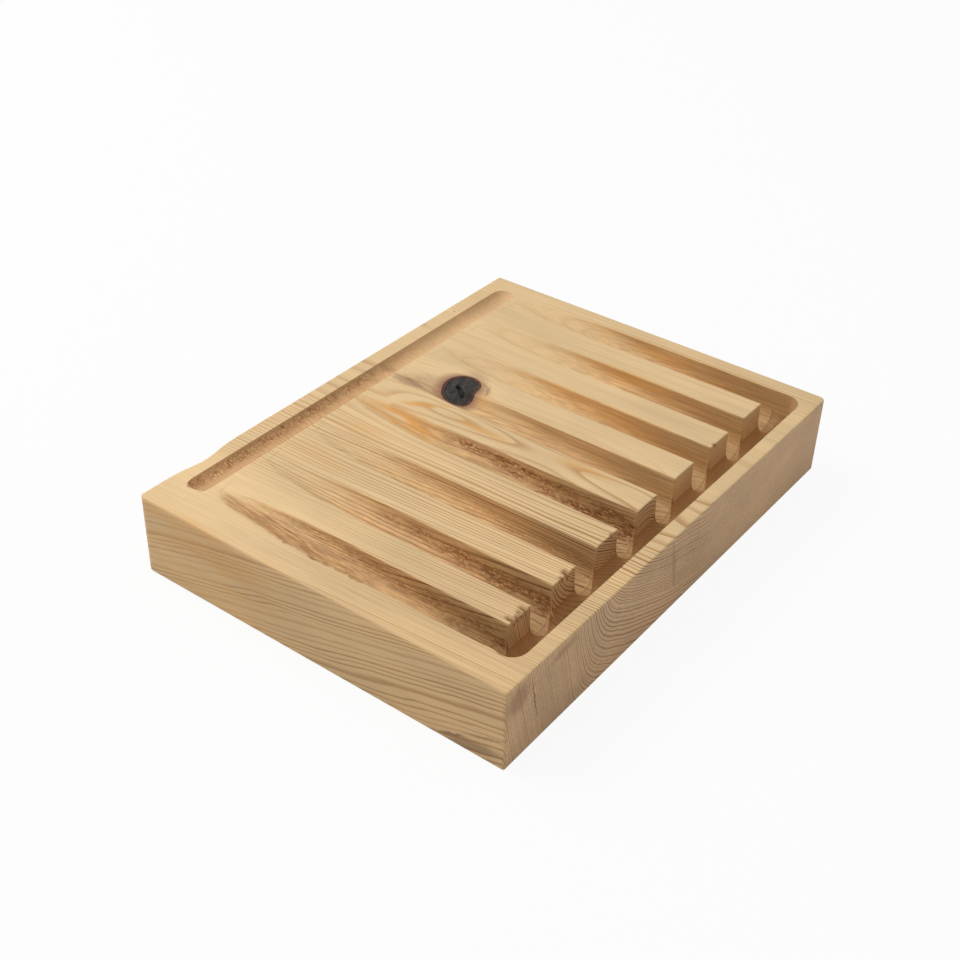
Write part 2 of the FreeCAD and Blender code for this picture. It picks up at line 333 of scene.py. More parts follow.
# A point of the board is its place and then its marks, each 0 where it is left out: how far it belongs to
# the corner at a rib's end, drawn in pale straw as crushed fibres and as a painted highlight, is torn, lies
# deep in a cut, which lays on the darker routed colours and, past a groove's bottom, painted shade, and lies
# in the painted shade on the near side of a groove's start.
MARKS = ("edge", "tear", "deep", "scorch")
# How deep in a cut the walls and the floor of the deep channel count, where 1 is the darkest of a groove;
# above 1 they are drawn darker still, as painted shade.
WALL_DEPTH_SHADE = 1.4
FLOOR_DEPTH_SHADE = 1.2

# How many points each stretch of a section through the dish gets.
GROOVE_POINTS = 37
LIP_POINTS = 3
RIB_POINTS = 17
RIM_POINTS = 11
FACE_POINTS = 7
EASE_STEPS = 4
UNDERSIDE_POINTS = 9
# Share of a groove's points that line the end walls of the deep channel, and how far the
# points of its floor spread under the ribs, in millimetres.
WALL_SHARE = 0.25
UNDER_RIB = 1.8

# How many sections each stretch along the grain gets, from left to right.
LEFT_RIM_SECTIONS = 5
SHALLOW_SECTIONS = 16
FEATHER_SECTIONS = 12
GROOVE_SECTIONS = 90
SPLINTER_SECTIONS = 17
RIB_END_ROWS = 6
MOUTH_SECTIONS = 12
FLOOR_SECTIONS = 5
NOSE_SECTIONS = 8
RIM_WALL_ROWS = 5
RIGHT_RIM_SECTIONS = 4
# In millimetres: how wide a groove is where it begins, the stretch at the ends of the ribs whose splinters
# need close sections, the rounding of those ends, and how far the deep channel's end walls stand clear of
# them.
FEATHER_START = 0.01
SPLINTER_LENGTH = 6.5
END_EASE = 0.25
END_CLEAR = 0.15

# The quarter turn of an eased edge, in steps.
EASE_TURN = [k / EASE_STEPS * math.pi / 2 for k in range(EASE_STEPS + 1)]


def groove_line(d, x, grow):
    """A groove's outline as (across, down) from its front edge to its back edge, both edges eased."""
    short = max(d.entry - x, 0)
    nose = math.sqrt(d.radius ** 2 - short ** 2)
    deep = (nose - d.radius + d.entry_depth if short else groove_depth(d, x)) + grow
    radius = nose + grow
    last = GROOVE_POINTS - 2 * LIP_POINTS + 1
    if deep < radius:
        turn = math.acos(1 - deep / radius)
        run = 2 * turn * radius
    else:
        run = 2 * (deep - radius) + math.pi * radius
    ease = min(d.rib_ease, 0.45 * run / last)
    points = []
    for k in range(last + 1):
        share = k / last
        if deep < radius:
            angle = turn * (2 * share - 1)
            points.append((radius * math.sin(angle), deep - radius * (1 - math.cos(angle))))
            continue
        straight = deep - radius
        gone = min(share, 1 - share) * run
        side = -1 if share < 0.5 else 1
        if gone < straight:
            points.append((side * radius, gone))
        else:
            angle = math.pi / 2 - (gone - straight) / radius
            points.append((side * radius * math.sin(angle), straight + radius * math.cos(angle)))
    half = points[-1][0]
    lip = [(half, ease), (half + 0.3 * ease, 0.3 * ease), (half + ease, 0)]
    points = [(-a, b) for a, b in reversed(lip)] + points[1:-1] + lip
    return [(a, b + grow * (b == 0)) for a, b in points]


def flat_row(d, low, high):
    """Places across the dish between its first and last groove edges, spread as the grooves and ribs are."""
    row = []
    edge = d.radius * 0.998
    for i, centre in enumerate(d.centres):
        row += [centre + edge * (2 * k / (GROOVE_POINTS - 1) - 1) for k in range(GROOVE_POINTS)]
        if i < d.grooves - 1:
            row += even(centre + d.radius, d.centres[i + 1] - d.radius, RIB_POINTS)
    scale = (high - low) / (row[-1] - row[0])
    return [low + (y - row[0]) * scale for y in row]


def shallow_row(d, x):
    """The channel across the grooves' upper ends: a round-nosed cut with round ends and ticked edges."""
    reach = math.sqrt(max(d.mouth ** 2 - (x - d.left_axis) ** 2, 0))
    across = (x - d.left_axis) / d.mouth
    edges = 0.75 * step(0.1, -0.5, across) + 0.8 * step(0.4, 0.9, across)
    edges *= step(-1, -0.85, across) * step(1, 0.93, across)
    row = []
    for y in flat_row(d, d.first - reach, d.last + reach):
        past = max(d.first - y, y - d.last, 0)
        inside = max(d.radius ** 2 - (x - d.left_axis) ** 2 - past ** 2, 0)
        z = d.height - max(math.sqrt(inside) - d.radius + d.shallow_depth, 0)
        ticks = 0.85 + 0.9 * rough(y / 1.5, across * 2, 3.3) + 0.5 * rough(y / 0.5, across, 8.1)
        smoother_behind = 1 - 0.95 * step(-8, 30, y)
        paler_behind = 1 - 0.4 * step(-10, 40, y)
        row.append((x, y, z, 0.0, max(ticks, 0) * smoother_behind * edges, paler_behind))
    return row


def deep_ends(d, x):
    """Front and back ends of the deep channel at a place along the grain."""
    reach = math.sqrt(max(d.radius ** 2 - (x - d.right_axis) ** 2, 0))
    front, back = d.first - d.overshoot - reach, d.last + reach
    if x < d.right_axis:
        front, back = min(front, d.first - d.radius), max(back, d.last + d.radius)
    return front, back


def deep_bottom(d, x, y):
    """Height of the deep channel's round bottom, or of a groove that opens into it."""
    past = max(d.first - d.overshoot - y, y - d.last, 0)
    inside = d.radius ** 2 - (x - d.right_axis) ** 2 - past ** 2
    bottom = d.deep_floor + d.radius - math.sqrt(max(inside, 0))
    groove = groove_bottom(d, x, y) if x < d.right_axis else None
    if groove is None:
        return bottom
    return groove if past and inside < 0 else min(bottom, groove)


def opening(d, x):
    """How far a groove's lowest line lies under the deep channel's round wall."""
    wall = d.deep_floor + d.radius - math.sqrt(max(d.radius ** 2 - (x - d.right_axis) ** 2, 0))
    return wall - d.height + groove_depth(d, x)


def mouth_half(d, x):
    """Half the width of a groove's mouth in the deep channel's round wall."""
    rise = opening(d, x)
    if x > d.right_axis or rise < 0:
        return d.radius
    return max(math.sqrt(rise * (2 * d.radius - rise)), 0.02)


def mouth_tip(d):
    """Where along the grain the grooves' mouths end in the deep channel's floor."""
    low, high = d.rib_end, d.right_axis
    for _ in range(40):
        x = (low + high) / 2
        low, high = (x, high) if opening(d, x) > 0 else (low, x)
    return low


def deep_row(d, x, wall_x):
    """The deep channel: down its front end wall, along its floor and up its back end wall."""
    front, back = deep_ends(d, x)
    straight = groove_depth(d, d.rib_end) - d.radius
    straight /= 2 * straight + math.pi * d.radius
    half = mouth_half(d, x)
    row = []
    for i, centre in enumerate(d.centres):
        for k in range(GROOVE_POINTS):
            share = k / (GROOVE_POINTS - 1)
            near = min(share, 1 - share)
            side = -1 if share < 0.5 else 1
            if (i == 0 and side < 0) or (i == d.grooves - 1 and side > 0):
                edge = front if side < 0 else back
                gone = min(near / WALL_SHARE, 1)
                y = edge + (centre - edge) * max(near - WALL_SHARE, 0) / (0.5 - WALL_SHARE)
                z = d.height + (deep_bottom(d, x, y) - d.height) * gone
                row.append((wall_x + (x - wall_x) * gone, y, z, 0.0, 0.0, WALL_DEPTH_SHADE))
                continue
            if near < straight:
                y = centre + side * (half + (d.radius + UNDER_RIB - half) * (1 - near / straight))
            else:
                y = centre + side * half * math.sin((0.5 - near) / (0.5 - straight) * math.pi / 2)
            row.append((x, y, deep_bottom(d, x, y), 0.0, 0.0, FLOOR_DEPTH_SHADE))
        if i < d.grooves - 1:
            low, high = centre + d.radius + UNDER_RIB, d.centres[i + 1] - d.radius - UNDER_RIB
            row += [(x, y, deep_bottom(d, x, y), 0.0, 0.0, FLOOR_DEPTH_SHADE) for y in even(low, high, RIB_POINTS)]
    return row


# How torn each wall that faces the front is, by the number of the groove in front of it:
# (strength, where along the grain it begins, where it is full, share of the depth where it begins).
TORN_WALLS = {0: (0.7, -60, -20, 0.05), 1: (1.2, -30, 15, 0.2), 2: (0.6, -20, 30, 0.3),
              3: (1.7, -30, 2, 0.12), 4: (0.3, 0, 40, 0.5)}
# How far the bumps of a torn wall stand out, and how uneven the lips of the grooves are, in millimetres.
TORN_BUMP = 0.16
LIP_WAVE = 0.04
# Where fibre bundles broke out of the end of a rib, by the number of the groove in front of it:
# (groove, share across the rib from its back edge, half width, length, depth).
BROKEN_ENDS = ((0, 0.22, 0.4, 2.2, 1.3), (0, 0.42, 0.35, 1.6, 1.0), (0, 0.60, 0.5, 0.9, 0.8),
               (0, 0.80, 0.4, 2.6, 1.5), (1, 0.36, 0.6, 1.8, 1.6), (1, 0.62, 0.4, 0.9, 0.6),
               (2, 0.3, 0.4, 0.6, 0.4), (5, 0.8, 0.4, 0.6, 0.5))
# Along which stretch the front rim's inner edge broke away, and how far, in millimetres:
# (where it begins, is full, begins to fade and ends, most).
TORN_RIM = (-22, -14, 4, 12, 0.5)
# By groove: from which depth to which its wood darkens, in millimetres, and how pale its front half stays.
# The darkening is partly the routed wood's own colour and partly painted shade; the paler front half leaves
# the painted shade on the back half, the wall that faces the front.
ROUTED_SHADE_DEPTHS = ((0.05, 1.6, 0.0), (0.6, 4.5, 0.0), (0.6, 4.5, 0.1), (0.4, 3.5, 0.0), (0.8, 5.0, 0.2),
                 (1.5, 5.5, 0.5), (1.8, 6.0, 0.6), (1.5, 5.5, 0.5))
# How strongly painted shade, streaked in torn brown, darkens the near side of each groove where it begins, by
# the groove's number, and how far across the groove that reaches, from -1 at its front edge to 1 at its back
# edge.
NEAR_SHADE_STARTS = {0: (1.0, 0.55), 3: (0.3, -0.35), 4: (0.5, -0.35)}


def torn_wall(groove, x, down, depth):
    """How torn the wall behind a groove is at a place, 0 where it is whole."""
    if groove not in TORN_WALLS:
        return 0.0
    strength, begin, full, share = TORN_WALLS[groove]
    low = step(share, share + 0.25, down / max(depth, 0.5))
    patch = 0.6 + 0.7 * rough(x / 6, groove * 7.1, down / 1.6)
    return max(strength * step(begin, full, x) * low * patch, 0.0)


def torn_rim(x, down):
    """How much of the front rim's inner edge broke away at a place."""
    begin, full, fade, end, most = TORN_RIM
    along = step(begin, full, x) * (1 - step(fade, end, x)) * (0.6 + 0.9 * rough(x / 1.3, 4.4, 0))
    return max(most * along, 0) * step(1.6, 0.2, down)


def near_side_shade(d, groove, x, across, half, depth):
    """How much painted shade lies on the near side of a groove at a place near its start, 0 where there is
    none.
    """
    if groove not in NEAR_SHADE_STARTS:
        return 0.0
    strength, reach = NEAR_SHADE_STARTS[groove]
    side = step(reach + 0.25, reach - 0.25, across / max(half, 0.1)) * step(d.start, d.start + 3, x)
    streak = 0.6 + 0.9 * rough(x / 9, groove * 4.1, across / 0.5)
    return max(strength * side * (1 - step(3.5, 8, depth)) * streak, 0.0)


def groove_row(d, x, groove, line, plain):
    """One groove across, with its marks. The walls that end the row of grooves keep their plain outline."""
    depth = max(groove_depth(d, x), 0.2)
    # Near the end of a rib its corner is painted pale straw: crushed fibres and a painted highlight.
    corner = step(d.rib_end - 0.5, d.rib_end - 0.1, x)
    light, dark, bare = ROUTED_SHADE_DEPTHS[min(groove, len(ROUTED_SHADE_DEPTHS) - 1)]
    middle = GROOVE_POINTS // 2
    row = []
    for k in range(GROOVE_POINTS):
        end_wall = (groove == 0 and k < middle) or (groove == d.grooves - 1 and k > middle)
        across, down = (plain if end_wall else line)[k]
        share = across / d.radius
        y, z, tear = d.centres[groove] + across, d.height - down, 0.0
        if k > middle:
            tear = torn_wall(groove, x, down, depth) * step(0.55, 0.9, share)
            bump = rough(x / 2.2, groove * 3.3, down / 0.7) + 0.6 * rough(x / 0.8, groove * 5.7, down / 0.35)
            y -= tear * TORN_BUMP * bump
        elif groove == 0:
            broken = torn_rim(x, down)
            y -= broken
            tear = broken / TORN_RIM[-1]
        if min(k, GROOVE_POINTS - 1 - k) < LIP_POINTS:
            z -= LIP_WAVE * (1 + rough(x / 1.7, groove * 2.9 + k, 0.5))
        # Deeper cuts take the darker routed colours, partly as painted shade; past 6 mm they darken further
        # as painted shade.
        deep = step(light, dark, depth) * (1 - bare * step(0.3, -0.5, share)) + 0.4 * step(6.0, 10.0, depth)
        # Painted shade on the near side of the groove's start.
        scorch = near_side_shade(d, groove, x, across, -line[LIP_POINTS][0], depth)
        row.append((x, y, min(z, d.height), 0.0 if end_wall else corner, tear, deep, scorch))
    return row


def rib_top(d, x, groove, low, high, grow):
    """The top of the rib behind a groove, with the fibre bundles that broke out of its end."""
    row = []
    for y in even(low, high, RIB_POINTS):
        z, tear = d.height - grow, 0.0
        share = (high - y) / (high - low)
        for in_front, at, half, length, deep in BROKEN_ENDS:
            if in_front == groove:
                near = math.exp(-(((share - at) * (high - low)) / half) ** 2)
                into = step(d.rib_end - length, d.rib_end - 0.3 * length, x) * near
                z -= deep * into
                tear = max(tear, into)
        row.append((x, y, z, 0.0, tear))
    return row


def rib_row(d, x, grow):
    """Grooves and ribs side by side. Towards the ends of the ribs, the cut grows as their ends are eased."""
    line, plain = groove_line(d, x, grow), groove_line(d, x, 0)
    row = []
    for groove, centre in enumerate(d.centres):
        row += groove_row(d, x, groove, line, plain)
        if groove < d.grooves - 1:
            edge = line[-1][0]
            row += rib_top(d, x, groove, centre + edge, d.centres[groove + 1] - edge, grow)
    return row


def mixed(first, second, share):
    """A row on the upright wall between two rows."""
    return [tuple(a + (b - a) * share for a, b in zip(p[:3], q[:3])) + (0.0, 0.0, WALL_DEPTH_SHADE)
            for p, q in zip(first, second)]


def flat_section(d, x, front, back, inset=0.0):
    """A section where nothing is cut, drawn in by an inset where an end edge is eased."""
    return x, "planed", [(x, y, d.height - inset) for y in flat_row(d, front, back)], inset


def shallow_sections(d):
    """Sections of the left rim and of the channel across the upper ends of the grooves."""
    left, ease = -d.length / 2, d.edge_ease
    out = [flat_section(d, left + ease * (1 - math.cos(a)), d.first, d.last, ease * (1 - math.sin(a)))
           for a in EASE_TURN]
    out += [flat_section(d, x, d.first, d.last)
            for x in even(left + ease, d.left_axis - d.mouth, LEFT_RIM_SECTIONS)]
    for k in range(SHALLOW_SECTIONS + 1):
        x = d.left_axis - d.mouth * math.cos(k / SHALLOW_SECTIONS * math.pi)
        out.append((x, "crossed" if k else "planed", shallow_row(d, x), 0))
    out.append(flat_section(d, (d.left_axis + d.mouth + d.start) / 2, d.first, d.last))
    return out


def groove_sections(d):
    """Sections of the grooves and ribs, from the feathered starts to the eased ends of the ribs."""
    feather, close = d.entry - d.start - FEATHER_START, d.rib_end - SPLINTER_LENGTH
    places = [d.entry - feather * math.cos(k / FEATHER_SECTIONS * math.pi / 2)
              for k in range(FEATHER_SECTIONS)]
    places += [d.entry] + even(d.entry, close, GROOVE_SECTIONS) + [close]
    places += even(close, d.rib_end - END_EASE, SPLINTER_SECTIONS)
    out = [(x, "routed" if k else "planed", rib_row(d, x, 0), 0) for k, x in enumerate(places)]
    for a in EASE_TURN:
        x = d.rib_end - END_EASE * (1 - math.sin(a))
        out.append((x, "routed", rib_row(d, x, END_EASE * (1 - math.cos(a))), 0))
    return out


def channel_sections(d, rib_ends):
    """Sections of the deep channel, from the ends of the ribs down, across and up to the right rim."""
    clear, tip, wall = d.rib_end + END_CLEAR, mouth_tip(d), d.right_axis + d.radius
    foot = deep_row(d, d.rib_end, clear)
    out = [(d.rib_end, "parted", mixed(rib_ends, foot, (k + 1) / RIB_END_ROWS), 0)
           for k in range(RIB_END_ROWS)]
    places = [tip - (tip - d.rib_end) * (1 - (k + 1) / MOUTH_SECTIONS) ** 2 for k in range(MOUTH_SECTIONS)]
    places += even(tip, d.right_axis, FLOOR_SECTIONS)
    places += [d.right_axis + d.radius * math.sin(k / NOSE_SECTIONS * math.pi / 2)
               for k in range(NOSE_SECTIONS + 1)]
    out += [(x, "deep", deep_row(d, x, max(x, clear)), 0) for x in places]
    front, back = deep_ends(d, wall)
    foot, lip = out[-1][2], [(wall, y, d.height - d.rib_ease) for y in flat_row(d, front, back)]
    out += [(wall, "parted", mixed(foot, lip, (k + 1) / RIM_WALL_ROWS), 0) for k in range(RIM_WALL_ROWS)]
    right, ease = d.length / 2, d.edge_ease
    places = [wall + 0.3 * d.rib_ease] + even(wall + d.rib_ease, right - ease, RIGHT_RIM_SECTIONS)
    out += [flat_section(d, x, front, back) for x in places]
    out += [flat_section(d, right - ease * (1 - math.cos(a)), front, back, ease * (1 - math.sin(a)))
            for a in reversed(EASE_TURN)]
    return out


def sections(d):
    """Sections of the dish from left to right, as (x, how the strip before it was cut, row, inset)."""
    ribs = groove_sections(d)
    return shallow_sections(d) + ribs + channel_sections(d, ribs[-1][2])


# Radius of the upright corners: front left, front right, back left, back right, in millimetres.
CORNERS = (1.6, 0.5, 0.6, 1.8)
# How far up the left end face the rings that close it lie, as shares of its height.
LEFT_END_RINGS = (0.85, 0.65, 0.45, 0.25, 0.05)


def corner_inset(d, x, left, right):
    """How far a side face is drawn in at a place by the rounding of its two upright corners."""
    for radius, gone in ((left, x + d.length / 2), (right, d.length / 2 - x)):
        if gone < radius:
            return radius - math.sqrt(radius ** 2 - (radius - gone) ** 2)
    return 0.0


def worn(d, y, z):
    """How deep the left edge is worn hollow at a place on it."""
    return d.hollow * math.exp(-((y - d.hollow_place) / d.hollow_reach) ** 2) * step(0, d.height, z)


def outer_ring(d, x, row, inset):
    """A whole loop round the board: front face, front rim, the inside row, back rim, back face, underside."""
    ease = max(d.edge_ease - inset, 0.02)
    front = max(inset, corner_inset(d, x, CORNERS[0], CORNERS[1])) - d.width / 2
    back = d.width / 2 - max(inset, corner_inset(d, x, CORNERS[2], CORNERS[3]))
    top, low = d.height - inset, inset
    turn = [(ease * (1 - math.sin(a)), ease * (1 - math.cos(a))) for a in EASE_TURN]
    loop = [(x, front + s, low + c) for s, c in turn]
    loop += [(x, front, z) for z in even(low + ease, top - ease, FACE_POINTS)]
    loop += [(x, front + c, top - s) for s, c in turn]
    loop += [(row[0][0], y, top) for y in even(front + ease, row[0][1], RIM_POINTS)]
    loop += row
    loop += [(row[-1][0], y, top) for y in even(row[-1][1], back - ease, RIM_POINTS)]
    loop += [(x, back - s, top - c) for s, c in turn]
    loop += [(x, back, z) for z in even(top - ease, low + ease, FACE_POINTS)]
    loop += [(x, back - c, low + s) for s, c in turn]
    loop += [(x, y, low) for y in even(back - ease, front + ease, UNDERSIDE_POINTS)]
    fade = 1 - step(0, d.left_rim - 0.5, x + d.length / 2)
    if fade:
        loop = [(p[0] + fade * worn(d, p[1], p[2]), *p[1:]) for p in loop]
    return [(*p, *[0.0] * (3 + len(MARKS) - len(p))) for p in loop]


def left_end(d, ring):
    """Rings that close the left end face from its lower edge up, so that it follows the hollow."""
    low = min(p[2] for p in ring)
    points = []
    for share in reversed(LEFT_END_RINGS):
        for p in ring:
            z = low + (p[2] - low) * share
            points.append((worn(d, p[1], z) - d.length / 2, p[1], z, *[0.0] * len(MARKS)))
    return points


# The board's finishes, in the order in which its faces count them: (how it was cut, its material, early and
# late wood, strength of the growth lines, roughness, contrast of the fibres, contrast of the pores).
FINISHES = (
    # Pine planed along the grain: crisp brown lines on pale straw, and a soft satin light.
    ("planed", "planed_pine", "earlywood", "latewood", 1.0, 0.6, 0.1, 0.0),
    # Pine routed along the grain: its fibres are roughed up, so it is warmer and streaky; it is drawn darker
    # the deeper the cut, partly as painted shade.
    ("routed", "routed_pine", "routed_early", "routed_late", 1.0, 0.7, 0.3, 0.0),
    # Pine routed across the grain: its fibres are crushed, so it is a dull brown with weak lines.
    ("crossed", "cross_routed_pine", "cross_early", "cross_late", 0.6, 0.75, 0.16, 0.0),
    # Fibres cut off at the ends of the ribs: matt, with strong dark rings.
    ("parted", "routed_end_grain_pine", "rib_end_early", "rib_end_late", 1.2, 0.8, 0.05, 0.1),
    # Sawn ends of the board, which drink the light: matt and greyer, with rings and open pores.
    ("sawn", "sawn_end_grain_pine", "end_early", "end_late", 1.1, 0.8, 0.03, 0.12),
    # Planed side faces: as crisp as the top, and drawn browner and darker than it, partly for the side grain
    # and partly as painted shade.
    ("edged", "planed_edge_pine", "side_early", "side_late", 1.0, 0.6, 0.08, 0.0))
CUTS = [finish[0] for finish in FINISHES]
# Cuts that feather out, so that their colours grow out of the planed ones with their depth.
FEATHERED = ("routed", "crossed")


def finish_of(d, cut, k):
    """Which finish a face of the board has, by how its strip was cut and its place in the section."""
    inside = k - 2 * (EASE_STEPS + 1) - FACE_POINTS - RIM_POINTS
    count = d.grooves * GROOVE_POINTS + (d.grooves - 1) * RIB_POINTS
    on_wall = min(inside, count - 2 - inside) < WALL_SHARE * (GROOVE_POINTS - 1)
    on_rib = inside % (GROOVE_POINTS + RIB_POINTS) >= GROOVE_POINTS - 1
    half_edge = EASE_STEPS // 2
    if inside < half_edge - RIM_POINTS - 3 or inside > count + RIM_POINTS + half_edge:
        cut = "edged"
    elif not 0 <= inside < count - 1 or (cut == "routed" and on_rib):
        cut = "planed"
    elif cut in ("parted", "deep"):
        cut = "routed" if on_wall else "crossed" if cut == "deep" else cut
    return CUTS.index(cut)


# How many points go round the knot, and how many rings its top and its bark have.
KNOT_STEPS = 120
STUB_RINGS = 30
BARK_RINGS = 5
# How far the knot's top and its bark lie under the board's, and above its underside, in millimetres.
STUB_SUNK = 0.08
BARK_SUNK = 0.05
STUB_FOOT = 0.1
BARK_FOOT = 0.06


def knot_outline(d, angle):
    """Distance of the bark's outer edge from the middle of the knot, at the top of the board."""
    lobes = 0.35 * math.cos(2 * angle - 3.5) + 0.2 * math.cos(angle + 1.05)
    dent = 0.35 * math.exp(-((angle - 0.14) / 0.35) ** 2)
    return d.across / 2 - 0.2 + lobes - dent + 0.16 * rough(math.cos(angle) * 2.3, math.sin(angle) * 2.3, 1.7)


def knot_place(d, turn, share, inner=0.0, spread=0.0):
    """A place in the knot: a turn in steps, a share of the way out, less the bark, widened downwards."""
    angle = (turn / KNOT_STEPS * 2 * math.pi + math.pi) % (2 * math.pi) - math.pi
    uneven = 1 + 0.45 * rough(math.cos(angle) * 3.1, math.sin(angle) * 3.1, 5.2)
    reach = (knot_outline(d, angle) - inner * uneven) * share * (1 + spread * d.growth / d.across)
    return d.knot_x + reach * math.cos(angle), d.knot_y + reach * math.sin(angle)


def mesh_from(name, points, faces, attributes=(), finishes=()):
    """A mesh from points in millimetres, with a float attribute for each given name."""
    mesh = bpy.data.meshes.new(name)
    mesh.from_pydata([[c * MM for c in p[:3]] for p in points], [], faces)
    for n, attribute in enumerate(attributes):
        layer = mesh.attributes.new(attribute, "FLOAT", "POINT")
        layer.data.foreach_set("value", [p[3 + n] for p in points])
    if finishes:
        mesh.polygons.foreach_set("material_index", finishes)
    mesh.validate()
    return mesh


def ring_faces(rings, size):
    """Faces that join closed rings of points one after the other, facing away from the inside."""
    faces = []
    for r in range(rings - 1):
        a, b = r * size, (r + 1) * size
        faces += [(a + k, b + k, b + (k + 1) % size, a + (k + 1) % size) for k in range(size)]
    return faces


def place(mesh, materials, slot, nodes=()):
    """Puts a finished mesh in the scene as a piece that rides on the dish."""
    piece = bpy.data.objects.new(mesh.name, mesh)
    bpy.context.scene.collection.objects.link(piece)
    for material in materials:
        mesh.materials.append(material)
    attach(piece, BODY)
    if nodes:
        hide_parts(*nodes)
    return piece


def without(mesh, cutter):
    """The mesh with the space of a cutter taken away, and the cutter removed."""
    name = mesh.name
    whole, tool = (bpy.data.objects.new("cut", m) for m in (mesh, cutter))
    for thing in (whole, tool):
        bpy.context.scene.collection.objects.link(thing)
    cut = whole.modifiers.new("knot_hole", "BOOLEAN")
    cut.object, cut.operation, cut.solver = tool, "DIFFERENCE", "EXACT"
    result = bpy.data.meshes.new_from_object(whole.evaluated_get(bpy.context.evaluated_depsgraph_get()))
    for thing in (whole, tool):
        bpy.data.objects.remove(thing)
    for old in (mesh, cutter):
        bpy.data.meshes.remove(old)
    result.name = name
    return result


def drying_crack(d, x, y):
    """Depth of the drying crack at a place, from 0 to 1. It runs from the middle to the front right."""
    right, behind = x - d.knot_x + 1.4, y - d.knot_y - 0.1
    along = right * 0.86 - behind * 0.5
    beside = right * 0.5 + behind * 0.86 + 0.25 * rough(x / 0.9, y / 0.9, 7)
    width = 0.6 * step(-0.3, 0.8, along) * (1 - step(3.2, 4.6, along)) + 0.02
    return math.exp(-(beside / width) ** 2) * step(-0.4, 0.3, along) * (1 - step(3.6, 4.7, along))


def knot_stub(d):
    """Mesh of the branch stub: a rough cracked top, and a side that widens downwards."""
    points = []
    for ring in range(STUB_RINGS + 1):
        share = 0.02 + 0.98 * ring / STUB_RINGS
        for turn in range(KNOT_STEPS):
            x, y = knot_place(d, turn, share, d.knot_bark)
            crack = drying_crack(d, x, y)
            z = top_of_board(d, x, y) - STUB_SUNK - crack - 0.1 * share ** 8
            z += 0.16 * rough(x / 1.3, y / 1.3, 0.4) + 0.07 * rough(x / 0.5, y / 0.5, 2.2)
            # The crack's depth is also its hollow mark, which paints it black with shade.
            points.append((x, y, z, crack))
    points += [(*knot_place(d, turn, 1.0, d.knot_bark, 1), STUB_FOOT, 0) for turn in range(KNOT_STEPS)]
    last = len(points) - 1
    faces = ring_faces(STUB_RINGS + 2, KNOT_STEPS)
    faces += [tuple(range(KNOT_STEPS - 1, -1, -1)), tuple(range(last - KNOT_STEPS + 1, last + 1))]
    return mesh_from("knot_stub", points, faces, ("hollow",))


def knot_bark(d):
    """Mesh of the bark sleeve: a crumbly ring on top, its outer side, its foot and its bore."""
    points = []
    inner = d.knot_bark + 0.03
    for ring in range(BARK_RINGS + 1):
        share = ring / BARK_RINGS
        for turn in range(KNOT_STEPS):
            x, y = knot_place(d, turn, 0.995, inner * (1 - share))
            crumb = 0.12 * rough(x / 0.7, y / 0.7, 3.1) - 0.1 * math.sin(share * math.pi)
            z = top_of_board(d, x, y) - BARK_SUNK + crumb * (share < 1)
            # The hollow mark paints shade at the bark's inner edge, beside the stub.
            points.append((x, y, z, 0.35 * (1 - share) ** 2))
    for bark in (0, inner):
        points += [(*knot_place(d, turn, 0.995, bark, 1), BARK_FOOT, 0) for turn in range(KNOT_STEPS)]
    foot = (BARK_RINGS + 2) * KNOT_STEPS
    faces = ring_faces(BARK_RINGS + 3, KNOT_STEPS)
    faces += [(foot + k, k, (k + 1) % KNOT_STEPS, foot + (k + 1) % KNOT_STEPS) for k in range(KNOT_STEPS)]
    return mesh_from("knot_bark_sleeve", points, faces, ("hollow",))


def knot_hole(d):
    """Mesh of the space that the knot takes in the board."""
    points = []
    for z, spread in ((-1, 1), (d.height + 1, 0)):
        points += [(*knot_place(d, turn, 1.0, spread=spread), z) for turn in range(KNOT_STEPS)]
    faces = [tuple(reversed(face)) for face in ring_faces(2, KNOT_STEPS)]
    faces += [tuple(range(KNOT_STEPS - 1, -1, -1)), tuple(range(KNOT_STEPS, 2 * KNOT_STEPS))]
    return mesh_from("knot_hole", points, faces)


def routed_board(d):
    """Mesh of the board, from its sections and its two end faces, without the knot's hole."""
    strips = sections(d)
    loops = [outer_ring(d, x, row, inset) for x, _, row, inset in strips]
    size, closing = len(loops[0]), len(LEFT_END_RINGS)
    points = left_end(d, loops[0]) + [p for loop in loops for p in loop]
    last = len(points) - 1
    faces = ring_faces(closing + len(loops), size)
    faces += [tuple(range(size)), tuple(range(last, last - size, -1))]
    sawn = CUTS.index("sawn")
    finishes = [sawn] * (closing * size)
    finishes += [finish_of(d, strip[1], k) for strip in strips[1:] for k in range(size)]
    finishes += [sawn] * 2
    return mesh_from("routed_board", points, faces, MARKS, finishes)


def add(tree, kind, *values, out=0, **settings):
    """Adds a node with its settings and gives one of its outputs.

    Its inputs are set or linked in order, or by name or number where a dict is given."""
    node = tree.nodes.new(kind)
    for name, value in settings.items():
        setattr(node, name, value)
    inputs = {}
    for n, value in enumerate(values):
        inputs.update(value if isinstance(value, dict) else {n: value})
    for key, value in inputs.items():
        if isinstance(value, bpy.types.NodeSocket):
            tree.links.new(value, node.inputs[key])
        else:
            node.inputs[key].default_value = (*value, 1) if isinstance(value, Color) else value
    return node.outputs[out] if len(node.outputs) else node


def blank_material(name):
    """A material without nodes, and its tree."""
    material = bpy.data.materials.new(name)
    material.use_nodes = True
    material.node_tree.nodes.clear()
    return material, material.node_tree


def millimetres(tree):
    """Places in the wood in millimetres."""
    metres = add(tree, "ShaderNodeTexCoord", out="Object")
    return add(tree, "ShaderNodeVectorMath", metres, {"Scale": 1 / MM}, operation="SCALE")


